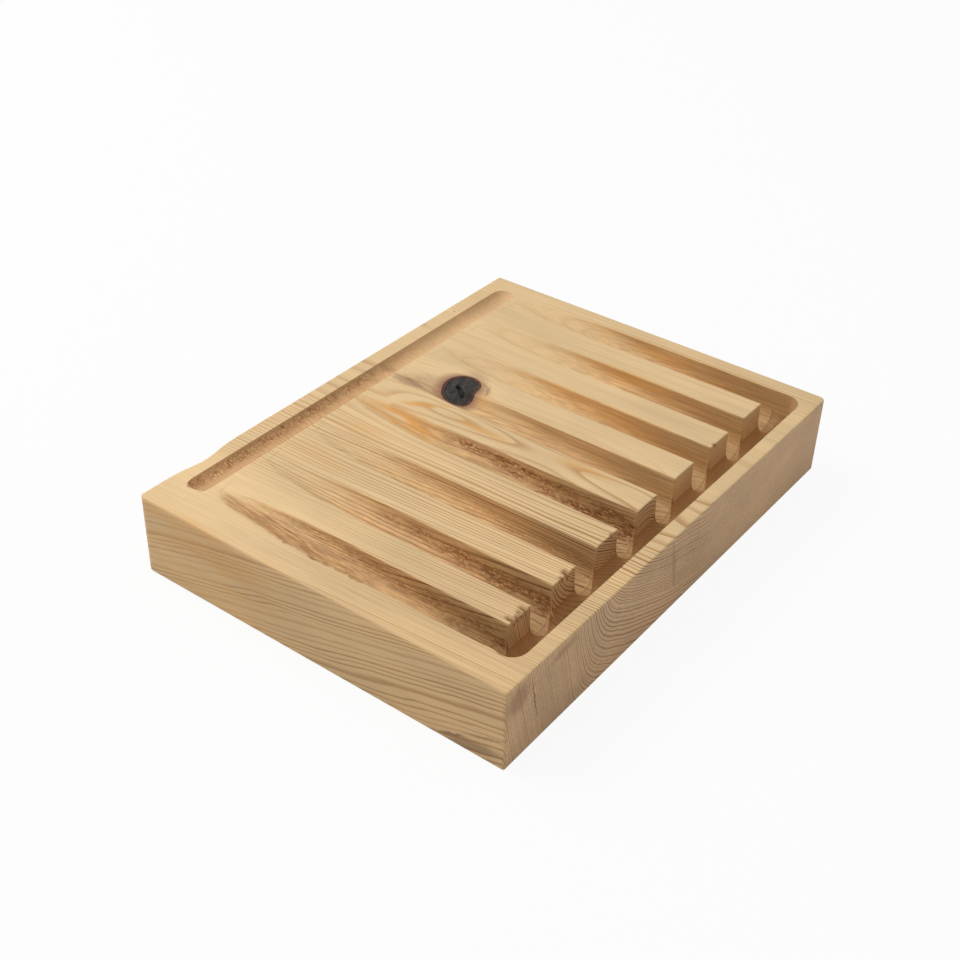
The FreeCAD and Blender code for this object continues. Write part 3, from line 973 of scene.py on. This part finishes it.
# What the nodes that mix two colours share: their inputs 0, 6 and 7 are the share and the two colours.
COLOUR_MIX = {"out": 2, "data_type": "RGBA"}
SMOOTH = {"interpolation_type": "SMOOTHSTEP"}
WOOD_IOR = 1.5

# How far the knot pushes the grain aside: strength, how drawn out along the grain, and the radius within
# which the push grows no more, in millimetres.
PUSH, PUSH_STRETCH, PUSH_CORE = 25, 1.7, 5.0
# Where the heart of the tree lay, across the board and above its underside. Near the front, the rings are
# steep and grow by so much for each millimetre along, across and up, from a start at the top of the board's
# middle.
HEART_ACROSS, HEART_ABOVE = 21.4, 100.7
STEEP_GROWTH, STEEP_START = (0.08, -1.446, -0.3615), 45.4
RING_BEND = 9.0
# Slow and quick waves of the rings: (size along and across the grain, reach), in millimetres.
RING_WAVES = (((130, 28, 28), 3.0), ((22, 4, 4), 0.5))
# Middle of the saddle in the rings that shows as two opposed points on the rib in front of the knot.
SADDLE_ALONG, SADDLE_ACROSS = 13.0, 3.0
# Rings in a millimetre, and from which ring radius on they crowd together, by how much.
RINGS_PER_MM = 0.8
CROWD_START, CROWD = 98.6, 0.010
# Between which radii lean years add thin rings, and how many.
LEAN_START, LEAN_END, LEAN_YEARS = 86.0, 101.0, 9.0
# Size of the fibres, clouds and resin-soaked streaks along and across the grain, in millimetres. A pine
# fibre is about 0.04 mm thick, too fine to show, so it is drawn as a bundle ten times as thick.
FIBRE_BUNDLE, CLOUD, SOAKED_STREAK = (16, 0.42, 0.42), (40, 12, 12), (25, 2.2, 2.2)
# Torn tufts, pits and pores in a millimetre. The pores are drawn ten times as coarse as they are, to show.
TUFTS_PER_MM, PITS_PER_MM, PORES_PER_MM = (0.88, 2.42, 2.42), (0.6, 1.6, 1.6), 2.2

# Streaks of wood soaked with resin, seen from above in millimetres:
# (middle along the grain, middle across, half length, half width, lean in degrees, strength).
RESIN_STREAKS = ((-26, 1.8, 9, 1.8, 30, 2.2), (-27, -6.0, 19, 4.0, 0, 1.3), (-8, 1.5, 14, 2.2, -4, 1.0),
                 (22, 3.6, 14, 3.0, 0, 0.7), (-30, -17, 14, 5, 0, 0.45), (-32, -33, 14, 6, 0, 0.45),
                 (-42.5, -22, 48, 0.9, 90, 1.4), (-30, -70, 32, 2.5, 0, 0.6), (10, 65, 45, 1.4, 0, 0.6),
                 (10, 48, 40, 1.2, 0, 0.6), (10, 31, 45, 1.4, 0, 0.6), (-16, 14, 6, 3.5, -25, 0.5))
RESIN_DEPTH = 30
# Brown stains and checks, in millimetres: (middle, half sizes, turn in degrees, strength).
STAINS = (
    ((44, -70, 2.0), (9, 2, 1.6), (0, -14, 0), 0.8), ((39, -70, 2.3), (4.5, 2, 0.5), (0, -22, 0), 1.0),
    ((48, -70, 6.5), (7, 2, 0.5), (0, -20, 0), 0.6), ((52.5, -60.0, 13.0), (2, 0.3, 7.5), (12, 0, 0), 1.0),
    ((52.5, -66, 17), (2, 4.5, 4.0), (20, 0, 0), 0.6), ((52.5, -50, 19), (2, 6.0, 1.2), (8, 0, 0), 0.4),
    ((52.5, -5.0, 13), (2, 0.9, 9.0), (12, 0, 0), 0.35), ((-17.2, 17.0, 21), (0.6, 3.0, 3), (0, 0, 25), 0.7),
    ((-18.5, 18.5, 21), (3.0, 0.5, 3), (0, 0, -30), 0.5), ((-49.7, 45, 21.5), (0.5, 0.4, 2), (0, 0, 0), 0.8),
    ((-51.5, 34, 21.5), (0.6, 0.4, 2), (0, 0, 0), 0.7), ((-45.5, 11, 20), (2.6, 1.2, 3), (0, 0, 20), 0.5),
    ((-35.5, 8.2, 21), (6.5, 2.2, 3), (0, 0, 4), 0.75), ((-31, 11, 21), (9.0, 5.0, 3), (0, 0, 18), 0.35))


def round_the_knot(tree, d, place_mm):
    """Distance from the knot's middle, and where the grain of a place would lie if there were no knot."""
    node = partial(add, tree)
    beside = node("ShaderNodeVectorMath", place_mm, (-d.knot_x, -d.knot_y, 0), operation="ADD")
    beside = node("ShaderNodeVectorMath", beside, (1, 1, 0), operation="MULTIPLY")
    knot = node("ShaderNodeVectorMath", beside, out="Value", operation="LENGTH")
    drawn = node("ShaderNodeVectorMath", beside, (1 / PUSH_STRETCH, 1, 0), operation="MULTIPLY")
    drawn = node("ShaderNodeVectorMath", drawn, out="Value", operation="LENGTH")
    push = node("ShaderNodeMath", drawn, PUSH_CORE, operation="MAXIMUM")
    push = node("ShaderNodeMath", push, -2.0, operation="POWER")
    aside = node("ShaderNodeVectorMath", beside, (0, -PUSH, 0), operation="MULTIPLY")
    aside = node("ShaderNodeVectorMath", aside, {"Scale": push}, operation="SCALE")
    return knot, node("ShaderNodeVectorMath", place_mm, aside, operation="ADD")


def saddle(tree, x, y):
    """How far the rings rise along the grain to both sides of the saddle, fading out round it."""
    node = partial(add, tree)
    across = node("ShaderNodeMath", y, -SADDLE_ACROSS, operation="ADD")
    across = node("ShaderNodeMath", across, across, operation="MULTIPLY")
    along = node("ShaderNodeMath", x, -SADDLE_ALONG, operation="ADD")
    along = node("ShaderNodeMath", along, along, 25.0, operation="MULTIPLY_ADD")
    along = node("ShaderNodeMath", along, operation="SQRT")
    rise = node("ShaderNodeMath", along, 0.085, 0.45, operation="MULTIPLY_ADD")
    rise = node("ShaderNodeMath", across, -0.12, rise, operation="MULTIPLY_ADD")
    near = node("ShaderNodeMath", x, 1 / 38, -5 / 38, operation="MULTIPLY_ADD")
    near = node("ShaderNodeMath", near, 4.0, operation="POWER")
    near = node("ShaderNodeMath", across, 1 / 70, near, operation="MULTIPLY_ADD")
    near = node("ShaderNodeMath", near, -1.0, operation="MULTIPLY")
    near = node("ShaderNodeMath", near, operation="EXPONENT")
    return node("ShaderNodeMath", rise, near, operation="MULTIPLY")


def ring_count(tree, d, bent, x, y):
    """How many rings lie between the heart of the tree and a place, with their waves and lean years."""
    node = partial(add, tree)
    flat = node("ShaderNodeVectorMath", bent, (0, -HEART_ACROSS, -HEART_ABOVE), operation="ADD")
    flat = node("ShaderNodeVectorMath", flat, (0, 1, 1), operation="MULTIPLY")
    flat = node("ShaderNodeVectorMath", flat, out="Value", operation="LENGTH")
    steep = node("ShaderNodeVectorMath", bent, STEEP_GROWTH, out="Value", operation="DOT_PRODUCT")
    steep = node("ShaderNodeMath", steep, STEEP_START - STEEP_GROWTH[2] * d.height, operation="ADD")
    radius = node("ShaderNodeMath", flat, steep, RING_BEND, operation="SMOOTH_MAX")
    for size, reach in RING_WAVES:
        wave = node("ShaderNodeVectorMath", bent, size, operation="DIVIDE")
        wave = node("ShaderNodeTexNoise", {"Vector": wave, "Scale": 1.0, "Detail": 1.5})
        radius = node("ShaderNodeMath", wave, reach, radius, operation="MULTIPLY_ADD")
    radius = node("ShaderNodeMath", saddle(tree, x, y), radius, operation="ADD")
    uneven = node("ShaderNodeTexNoise", {"W": radius, "Scale": 0.45, "Detail": 1.0}, noise_dimensions="1D")
    radius = node("ShaderNodeMath", uneven, 1.2, radius, operation="MULTIPLY_ADD")
    crowd = node("ShaderNodeMath", radius, -CROWD_START, operation="ADD")
    crowd = node("ShaderNodeMath", crowd, 0.0, operation="MAXIMUM")
    crowd = node("ShaderNodeMath", crowd, 2.0, operation="POWER")
    count = node("ShaderNodeMath", radius, RINGS_PER_MM, operation="MULTIPLY")
    count = node("ShaderNodeMath", crowd, CROWD, count, operation="MULTIPLY_ADD")
    lean = node("ShaderNodeMapRange", radius, LEAN_START, LEAN_END, 0.0, LEAN_YEARS, **SMOOTH)
    return node("ShaderNodeMath", count, lean, operation="ADD")


def growth_lines(tree, d, count, x, y, z):
    """The dark line of late wood that ends each ring, the ring's own tone, and a painted highlight on the
    top's front left.
    """
    node = partial(add, tree)
    part = node("ShaderNodeMath", count, operation="FRACT")
    # Painted highlight: the front left of the top is drawn paler, and its growth lines fainter.
    pale = node("ShaderNodeMapRange", z, d.height - 1.5, d.height - 0.3)
    for axis, begin, full in ((y, -40.0, -54.0), (x, 12.0, -28.0)):
        share = node("ShaderNodeMapRange", axis, begin, full, **SMOOTH)
        pale = node("ShaderNodeMath", pale, share, operation="MULTIPLY")
    line = node("ShaderNodeMapRange", part, 0.5, 0.88, **SMOOTH)
    for share in (node("ShaderNodeMapRange", part, 0.9, 1.0, 1.0, 0.0, **SMOOTH),
                  node("ShaderNodeMapRange", y, 3.0, 18.0, 1.0, 0.22, **SMOOTH),
                  node("ShaderNodeMapRange", x, -35.0, 35.0, 0.7, 1.15),
                  node("ShaderNodeMath", pale, -0.7, 1.0, operation="MULTIPLY_ADD")):
        line = node("ShaderNodeMath", line, share, operation="MULTIPLY")
    year = node("ShaderNodeMath", count, operation="FLOOR")
    return line, node("ShaderNodeTexWhiteNoise", {"W": year}, noise_dimensions="1D"), pale


def strongest(tree, place_mm, ovals, rim, core):
    """The strongest of soft ovals at a place, each fading from its core to its rim."""
    most = 0.0
    for middle, half, turn, strength in ovals:
        oval = add(tree, "ShaderNodeMapping", place_mm, middle, [math.radians(t) for t in turn], half,
                   vector_type="TEXTURE")
        oval = add(tree, "ShaderNodeVectorMath", oval, out="Value", operation="LENGTH")
        oval = add(tree, "ShaderNodeMapRange", oval, rim, core, 0.0, strength, **SMOOTH)
        most = add(tree, "ShaderNodeMath", oval, most, operation="MAXIMUM")
    return most


def growth_rings(d):
    """Node group with the board's growth rings as a solid pattern, in millimetres of real wood.

    The board was sawn below the heart of the tree: its rings lie almost flat at the back, dip towards
    the front, and turn up steeply and crowd together near the front edge. They part round the knot."""
    group = bpy.data.node_groups.new("pine_growth_rings", "ShaderNodeTree")
    for name in ("Line", "Tone", "Knot", "Fibre", "Cloud", "Resin", "Stain", "Pale"):
        group.interface.new_socket(name, in_out="OUTPUT", socket_type="NodeSocketFloat")
    group.interface.new_socket("Place", in_out="OUTPUT", socket_type="NodeSocketVector")
    node = partial(add, group)
    place_mm = millimetres(group)
    x, y, z = node("ShaderNodeSeparateXYZ", place_mm).node.outputs
    knot, bent = round_the_knot(group, d, place_mm)
    line, tone, pale = growth_lines(group, d, ring_count(group, d, bent, x, y), x, y, z)
    fibre, cloud, soaked = (node("ShaderNodeVectorMath", bent, size, operation="DIVIDE")
                            for size in (FIBRE_BUNDLE, CLOUD, SOAKED_STREAK))
    fibre = node("ShaderNodeTexNoise", {"Vector": fibre, "Scale": 1.0, "Detail": 3.0, "Roughness": 0.6})
    cloud = node("ShaderNodeTexNoise", {"Vector": cloud, "Scale": 1.0, "Detail": 2.0})
    soaked = node("ShaderNodeTexNoise", {"Vector": soaked, "Scale": 1.0, "Detail": 2.0})
    soaked = node("ShaderNodeMapRange", soaked, 0.35, 0.62)
    streaks = [((along, across, d.height), (length, width, RESIN_DEPTH), (0, 0, lean), strength)
               for along, across, length, width, lean, strength in RESIN_STREAKS]
    resin = strongest(group, place_mm, streaks, 1.0, 0.2)
    resin = node("ShaderNodeMath", resin, soaked, operation="MULTIPLY")
    blur = node("ShaderNodeTexNoise", {"Vector": place_mm, "Scale": 0.9, "Detail": 3.0}, out="Color")
    blur = node("ShaderNodeVectorMath", blur, (-0.5, -0.5, -0.5), operation="ADD")
    blur = node("ShaderNodeVectorMath", blur, {"Scale": 1.2}, operation="SCALE")
    ragged = node("ShaderNodeVectorMath", place_mm, blur, operation="ADD")
    stain = strongest(group, ragged, STAINS, 1.2, 0.4)
    node("NodeGroupOutput", line, tone, knot, fibre, cloud, resin, stain, pale, place_mm)
    return group


def pine(rings, colours, cut, name, early, late, lines, roughness, fine, speckle):
    """A finish of the board: growth lines in early wood, then resin, torn fibres, painted shade and a painted
    highlight, and clouds.
    """
    material, tree = blank_material(name)
    node = partial(add, tree)
    line, tone, knot, fibre, cloud, resin, stain, pale, place_mm = \
        node("ShaderNodeGroup", node_tree=rings).node.outputs
    edge, tear, deep, scorch = (node("ShaderNodeAttribute", out="Fac", attribute_name=mark) for mark in MARKS)
    early, late = getattr(colours, early), getattr(colours, late)
    feathered = cut in FEATHERED

    amber = node("ShaderNodeMapRange", cloud, 0.45, 0.65, 0.0, 0.6)
    amber = node("ShaderNodeMath", amber, resin, operation="MAXIMUM")
    tufts = node("ShaderNodeVectorMath", place_mm, TUFTS_PER_MM, operation="MULTIPLY")
    tufts = node("ShaderNodeTexNoise", {"Vector": tufts, "Scale": 1.0, "Detail": 2.0})
    tufts = node("ShaderNodeMapRange", tufts, 0.5, 0.62, 0.0, 0.9)
    streaks = node("ShaderNodeMapRange", fibre, 0.4, 0.7, 0.0, 0.6)
    pits, shades = tear, []
    if feathered:
        # The deeper the cut, the more the darker routed colours take over: roughed fibres and, partly,
        # painted shade.
        early = node("ShaderNodeMix", {0: deep, 6: colours.earlywood, 7: early}, **COLOUR_MIX)
        late = node("ShaderNodeMix", {0: deep, 6: colours.latewood, 7: late}, **COLOUR_MIX)
        amber = node("ShaderNodeMath", amber, 0.4, operation="MULTIPLY")
        # Painted shade: dark pits in torn wood, darker the deeper the cut.
        pits = node("ShaderNodeVectorMath", place_mm, PITS_PER_MM, operation="MULTIPLY")
        pits = node("ShaderNodeTexNoise", {"Vector": pits, "Scale": 1.0, "Detail": 2.0})
        pits = node("ShaderNodeMapRange", pits, 0.5, 0.64, 0.0, 0.5)
        pits = node("ShaderNodeMath", pits, tear, operation="MULTIPLY", use_clamp=True)
        fine = node("ShaderNodeMapRange", deep, 0.0, 1.0, 0.1, fine)
        # Painted shade: past a groove's bottom, the deep channel's walls and floor are drawn darker.
        shades.append(node("ShaderNodeMapRange", deep, 1.0, 1.4, 1.0, 0.8))
    ragged = node("ShaderNodeMath", cloud, 9.0, knot, operation="MULTIPLY_ADD")
    ragged = node("ShaderNodeMath", fibre, 2.0, ragged, operation="MULTIPLY_ADD")
    halo = node("ShaderNodeMapRange", ragged, 14.5, 10.2, 0.0, 0.95, **SMOOTH)

    # Each layer is a share from 0 to 1 and the colour, or the two colours and their share, that it lays on.
    strength = node("ShaderNodeMapRange", tone, 0.0, 1.0, 0.35 * lines, lines)
    colour = early
    for share, factor, first, second, between in (
            (line, strength, late, colours.amber, amber),
            (resin, 0.7, colours.resin, None, None),
            (halo, 1.0, colours.halo, None, None),
            (tear, 0.85, colours.torn, colours.fibre, tufts),
            # Painted shade on the near side of a groove's start, streaked in torn brown and straw.
            (scorch, 0.85, colours.torn, colours.fibre, streaks),
            # Painted shade in the torn pits.
            (pits, deep if feathered else 0.8, colours.pit, None, None),
            # Pale straw on a rib's end corner: crushed fibres and a painted highlight.
            (edge, 0.95, colours.fibre, None, None),
            (stain, 0.75, colours.halo, colours.stain, node("ShaderNodeMapRange", knot, 20.0, 28.0))):
        share = node("ShaderNodeMath", share, factor, operation="MULTIPLY", use_clamp=True)
        if second is not None:
            first = node("ShaderNodeMix", {0: between, 6: first, 7: second}, **COLOUR_MIX)
        colour = node("ShaderNodeMix", {0: share, 6: colour, 7: first}, **COLOUR_MIX)

    light = node("ShaderNodeMapRange", fibre, 0.25, 0.75, -1.0, 1.0)
    light = node("ShaderNodeMath", light, fine, 1.0, operation="MULTIPLY_ADD")
    shades.append(node("ShaderNodeMapRange", cloud, 0.3, 0.7, 0.92, 1.07))
    # Painted highlight: the front left of the top is a tenth lighter.
    shades.append(node("ShaderNodeMapRange", pale, 0.0, 1.0, 1.0, 1.1))
    if speckle:
        pores = node("ShaderNodeTexNoise", {"Vector": place_mm, "Scale": PORES_PER_MM, "Detail": 2.0})
        shades.append(node("ShaderNodeMapRange", pores, 0.3, 0.7, 1 - speckle, 1 + speckle))
    for shade in shades:
        light = node("ShaderNodeMath", light, shade, operation="MULTIPLY")
    colour = node("ShaderNodeMix", {0: 1.0, 6: colour, 7: light}, blend_type="MULTIPLY", **COLOUR_MIX)
    bump = node("ShaderNodeBump", {"Strength": 0.4, "Distance": 0.00006, "Height": fibre})
    shader = node("ShaderNodeBsdfPrincipled",
                  {"Base Color": colour, "Roughness": roughness, "IOR": WOOD_IOR, "Normal": bump})
    node("ShaderNodeOutputMaterial", shader)
    return material


def dead_wood(name, pale, dark, crack, roughness, mottle_mm):
    """Dead wood of the knot: mottled, with painted shade black in its cracks and hollows, and a faint gleam
    on its ridges.
    """
    material, tree = blank_material(name)
    node = partial(add, tree)
    mottle = node("ShaderNodeTexNoise", {"Vector": millimetres(tree), "Scale": 1 / mottle_mm, "Detail": 4.0})
    share = node("ShaderNodeMapRange", mottle, 0.3, 0.7)
    hollow = node("ShaderNodeAttribute", out="Fac", attribute_name="hollow")
    colour = node("ShaderNodeMix", {0: share, 6: dark, 7: pale}, **COLOUR_MIX)
    # Painted shade: the hollow mark lays the crack colour into cracks and the bark's inner seam.
    colour = node("ShaderNodeMix", {0: hollow, 6: colour, 7: crack}, **COLOUR_MIX)
    bump = node("ShaderNodeBump", {"Strength": 0.8, "Distance": 0.0003, "Height": mottle})
    shader = node("ShaderNodeBsdfPrincipled", {"Base Color": colour, "Roughness": roughness, "IOR": WOOD_IOR,
                                               "Specular IOR Level": 0.25, "Normal": bump})
    node("ShaderNodeOutputMaterial", shader)
    return material


def torn_fibre(colours):
    """Loose splinters: pale straw that browns from tuft to tuft, matt because no cutter smoothed it."""
    material, tree = blank_material("torn_pine_fibre")
    node = partial(add, tree)
    tone = node("ShaderNodeTexNoise", {"Vector": millimetres(tree), "Scale": 0.8, "Detail": 2.0})
    tone = node("ShaderNodeMapRange", tone, 0.4, 0.7, 0.0, 0.6)
    colour = node("ShaderNodeMix", {0: tone, 6: colours.fibre, 7: colours.torn}, **COLOUR_MIX)
    shader = node("ShaderNodeBsdfPrincipled", {"Base Color": colour, "Roughness": 0.7, "IOR": WOOD_IOR})
    node("ShaderNodeOutputMaterial", shader)
    return material


# Where loose fibres stand, in millimetres: (how many, lowest corner, highest corner, mean direction,
# shortest, longest, thickest, curl in degrees).
LOOSE_FIBRES = ((16, (38.6, -37.1, 10.5), (40.6, -36.8, 16.5), (0.7, -0.5, -0.5), 0.9, 2.6, 0.32, 80),
                (7, (33.0, -37.3, 14.6), (37.0, -36.9, 16.2), (0.8, -0.6, 0.2), 0.8, 2.0, 0.3, 150),
                (4, (38.0, -45.5, 20.3), (40.4, -44.9, 21.3), (0.6, 0.7, 0.2), 0.8, 1.6, 0.24, 140),
                (170, (-8.0, -3.1, 12.6), (40.3, -2.9, 18.2), (0.9, -0.4, -0.1), 0.3, 0.9, 0.18, 60),
                (90, (-5.0, -37.1, 12.4), (40.0, -36.9, 17.5), (0.9, -0.4, -0.1), 0.3, 0.9, 0.18, 60),
                (26, (-20.0, -61.4, 21.0), (8.0, -61.0, 21.4), (0.8, 0.5, -0.1), 0.4, 1.3, 0.2, 40),
                (10, (39.6, -53.0, 20.4), (40.4, -45.2, 21.4), (1.0, 0.0, -0.1), 0.5, 1.2, 0.24, 30))
FIBRE_SEED = 7
FIBRE_RINGS = 7
FIBRE_SIDES = 3
# How far a fibre leans from the mean direction, and how far above a groove's bottom the lowest one stands.
FIBRE_STRAY = 0.35
FIBRE_CLEAR = 1.2


def fibre_points(start, way, length, thick, curl, turn):
    """Rings of a curved, tapered splinter."""
    way = Vector(way).normalized()
    side = way.orthogonal().normalized()
    side.rotate(Quaternion(way, turn))
    points, at = [], Vector(start)
    for ring in range(FIBRE_RINGS):
        share = ring / (FIBRE_RINGS - 1)
        across = side.cross(way)
        for n in range(FIBRE_SIDES):
            angle = n / FIBRE_SIDES * 2 * math.pi
            out = side * math.cos(angle) + across * math.sin(angle)
            points.append(at + out * thick / 2 * (1.05 - share))
        at = at + way * (length / (FIBRE_RINGS - 1))
        bend = Quaternion(across, curl / (FIBRE_RINGS - 1))
        way.rotate(bend)
        side.rotate(bend)
    return points


def loose_fibres(d):
    """Mesh of all the splinters that stand clear of the grooves' bottoms."""
    chance = random.Random(FIBRE_SEED)
    points, faces = [], []
    for count, low, high, way, short, long, thick, curl in LOOSE_FIBRES:
        for _ in range(count):
            start = [chance.uniform(a, b) for a, b in zip(low, high)]
            if start[2] < d.height - groove_depth(d, start[0]) + FIBRE_CLEAR:
                continue
            lean = [c + chance.uniform(-FIBRE_STRAY, FIBRE_STRAY) for c in way]
            first = len(points)
            length, thickness = chance.uniform(short, long), thick * chance.uniform(0.6, 1)
            bow, turn = math.radians(chance.uniform(0.3, 1) * curl), chance.uniform(0, 2 * math.pi)
            points += fibre_points(start, lean, length, thickness, bow, turn)
            sides = ring_faces(FIBRE_RINGS, FIBRE_SIDES)
            faces += [tuple(first + k for k in reversed(face)) for face in sides]
            faces += [tuple(range(first, first + FIBRE_SIDES)),
                      tuple(range(len(points) - 1, len(points) - 1 - FIBRE_SIDES, -1))]
    return mesh_from("loose_fibres", points, faces)


# Half the floor's width, how far it lies under the board, so that the two don't share a plane, where the lamp
# points, and the camera's frame and nearest distance.
FLOOR_HALF = 3.0
FLOOR_GAP = 0.0002
LAMP_TARGET = (0, 0, 0.02)
FRAME_WIDTH_MM = 36.0
NEAREST = 0.01
WHITE = (1, 1, 1, 1)


def paper_floor(scene, stage):
    """White backing paper: the eye sees a white ground with only a breath of the dish's shadow on it."""
    sheet = bmesh.new()
    bmesh.ops.create_grid(sheet, x_segments=4, y_segments=4, size=FLOOR_HALF)
    mesh = bpy.data.meshes.new("floor")
    sheet.to_mesh(mesh)
    sheet.free()
    floor = bpy.data.objects.new("floor", mesh)
    floor.location.z = -FLOOR_GAP
    scene.collection.objects.link(floor)
    material, tree = blank_material("matt_white_paper")
    paper = add(tree, "ShaderNodeBsdfDiffuse", {"Color": stage.floor})
    glow = add(tree, "ShaderNodeEmission", {"Color": WHITE, "Strength": 1.0})
    seen = add(tree, "ShaderNodeLightPath", out="Is Camera Ray")
    seen = add(tree, "ShaderNodeMath", seen, 1 - stage.shadow, operation="MULTIPLY")
    add(tree, "ShaderNodeOutputMaterial", add(tree, "ShaderNodeMixShader", seen, paper, glow))
    mesh.materials.append(material)


def studio_light(scene, stage):
    """Even light from all round, white where it is seen directly, and one large lamp above the front left."""
    world = bpy.data.worlds.new("studio")
    world.use_nodes = True
    tree = world.node_tree
    tree.nodes.clear()
    path = add(tree, "ShaderNodeLightPath").node.outputs
    seen = path["Is Camera Ray"]
    for ray in ("Is Glossy Ray", "Is Transmission Ray"):
        seen = add(tree, "ShaderNodeMath", seen, path[ray], operation="MAXIMUM")
    level = add(tree, "ShaderNodeMapRange", seen, 0.0, 1.0, stage.sky, 1.0)
    sky = add(tree, "ShaderNodeBackground", {"Color": WHITE, "Strength": level})
    add(tree, "ShaderNodeOutputWorld", sky)
    scene.world = world
    lamp = bpy.data.lights.new("key", "AREA")
    lamp.energy, lamp.shape, lamp.size = stage.key, "DISK", stage.key_size
    key = bpy.data.objects.new("key", lamp)
    key.location = stage.key_place
    key.rotation_euler = (Vector(LAMP_TARGET) - key.location).to_track_quat("-Z", "Y").to_euler()
    scene.collection.objects.link(key)


def photo_camera(scene, stage):
    """The camera at the photograph's viewing angle."""
    lens = bpy.data.cameras.new("camera")
    lens.lens, lens.sensor_width, lens.clip_start = stage.lens, FRAME_WIDTH_MM, NEAREST
    camera = bpy.data.objects.new("camera", lens)
    camera.location, camera.rotation_euler = stage.camera_place, stage.camera_turn
    scene.collection.objects.link(camera)
    scene.camera = camera


# From which angle between two faces on the board's edges look sharp, in degrees.
SHARP_ANGLE = 38


class SOAPDISH_OT_board(bpy.types.Operator):
    """Builds the routed board with its grooves, channels, eased edges, torn places and the knot's hole"""

    bl_idname = "soapdish.board"
    bl_label = "Build Board"

    def execute(self, context):
        d = in_millimetres(context)
        mesh = without(routed_board(d), knot_hole(d))
        mesh.shade_smooth()
        mesh.set_sharp_from_angle(angle=math.radians(SHARP_ANGLE))
        rings = growth_rings(d)
        materials = [pine(rings, context.scene.soap_dish_wood, *finish) for finish in FINISHES]
        place(mesh, materials, "raw_softwood", ("dish_block",))
        return {"FINISHED"}


class SOAPDISH_OT_knot(bpy.types.Operator):
    """Builds the dead knot: the cracked branch stub and the crumbly bark round it"""

    bl_idname = "soapdish.knot"
    bl_label = "Build Knot"

    def execute(self, context):
        d = in_millimetres(context)
        colours = context.scene.soap_dish_wood
        for mesh, name, pale, dark, roughness, mottle_mm, slot, node in (
                # Charcoal with a dull gleam on its ridges, and a crack painted black with shade to the
                # bottom.
                (knot_stub(d), "weathered_dead_knot", colours.charcoal, colours.charcoal_dark, 0.6, 1.4,
                 "dead_knot_wood", "knot_core"),
                # A soft purple-brown rim that takes the light in.
                (knot_bark(d), "crumbly_dead_bark", colours.bark, colours.bark_dark, 0.8, 0.6,
                 "dead_bark", "knot_bark")):
            mesh.shade_smooth()
            place(mesh, [dead_wood(name, pale, dark, colours.crack, roughness, mottle_mm)], slot, (node,))
        return {"FINISHED"}


class SOAPDISH_OT_fibres(bpy.types.Operator):
    """Builds the loose straw-coloured fibres that the cutter tore up and left standing"""

    bl_idname = "soapdish.fibres"
    bl_label = "Build Loose Fibres"

    def execute(self, context):
        mesh = loose_fibres(in_millimetres(context))
        mesh.shade_smooth()
        place(mesh, [torn_fibre(context.scene.soap_dish_wood)], "raw_softwood")
        return {"FINISHED"}


class SOAPDISH_OT_stage(bpy.types.Operator):
    """Sets the floor, the light and the camera"""

    bl_idname = "soapdish.stage"
    bl_label = "Set Stage"

    def execute(self, context):
        scene = context.scene
        paper_floor(scene, scene.soap_dish_stage)
        studio_light(scene, scene.soap_dish_stage)
        photo_camera(scene, scene.soap_dish_stage)
        scene.view_settings.view_transform = "Standard"
        return {"FINISHED"}


class SOAPDISH_PT_panel(bpy.types.Panel):
    """Lists the steps that build the dish and the values they use"""

    bl_label = "Soap Dish"
    bl_idname = "SOAPDISH_PT_panel"
    bl_space_type = "VIEW_3D"
    bl_region_type = "UI"
    bl_category = "Soap Dish"

    def draw(self, context):
        for operator in STEPS:
            self.layout.operator(operator.bl_idname)
        for name, group in GROUPS:
            box = self.layout.box()
            for value in group.__annotations__:
                box.prop(getattr(context.scene, name), value)


STEPS = (SOAPDISH_OT_board, SOAPDISH_OT_knot, SOAPDISH_OT_fibres, SOAPDISH_OT_stage)


def register():
    for name, group in GROUPS:
        bpy.utils.register_class(group)
        setattr(bpy.types.Scene, name, bpy.props.PointerProperty(type=group))
    for kind in STEPS + (SOAPDISH_PT_panel,):
        bpy.utils.register_class(kind)


def unregister():
    for kind in reversed(STEPS + (SOAPDISH_PT_panel,)):
        bpy.utils.unregister_class(kind)
    for name, group in reversed(GROUPS):
        delattr(bpy.types.Scene, name)
        bpy.utils.unregister_class(group)


def main():
    register()
    bpy.ops.soapdish.board()
    bpy.ops.soapdish.knot()
    bpy.ops.soapdish.fibres()
    bpy.ops.soapdish.stage()


if __name__ == "__main__":
    main()
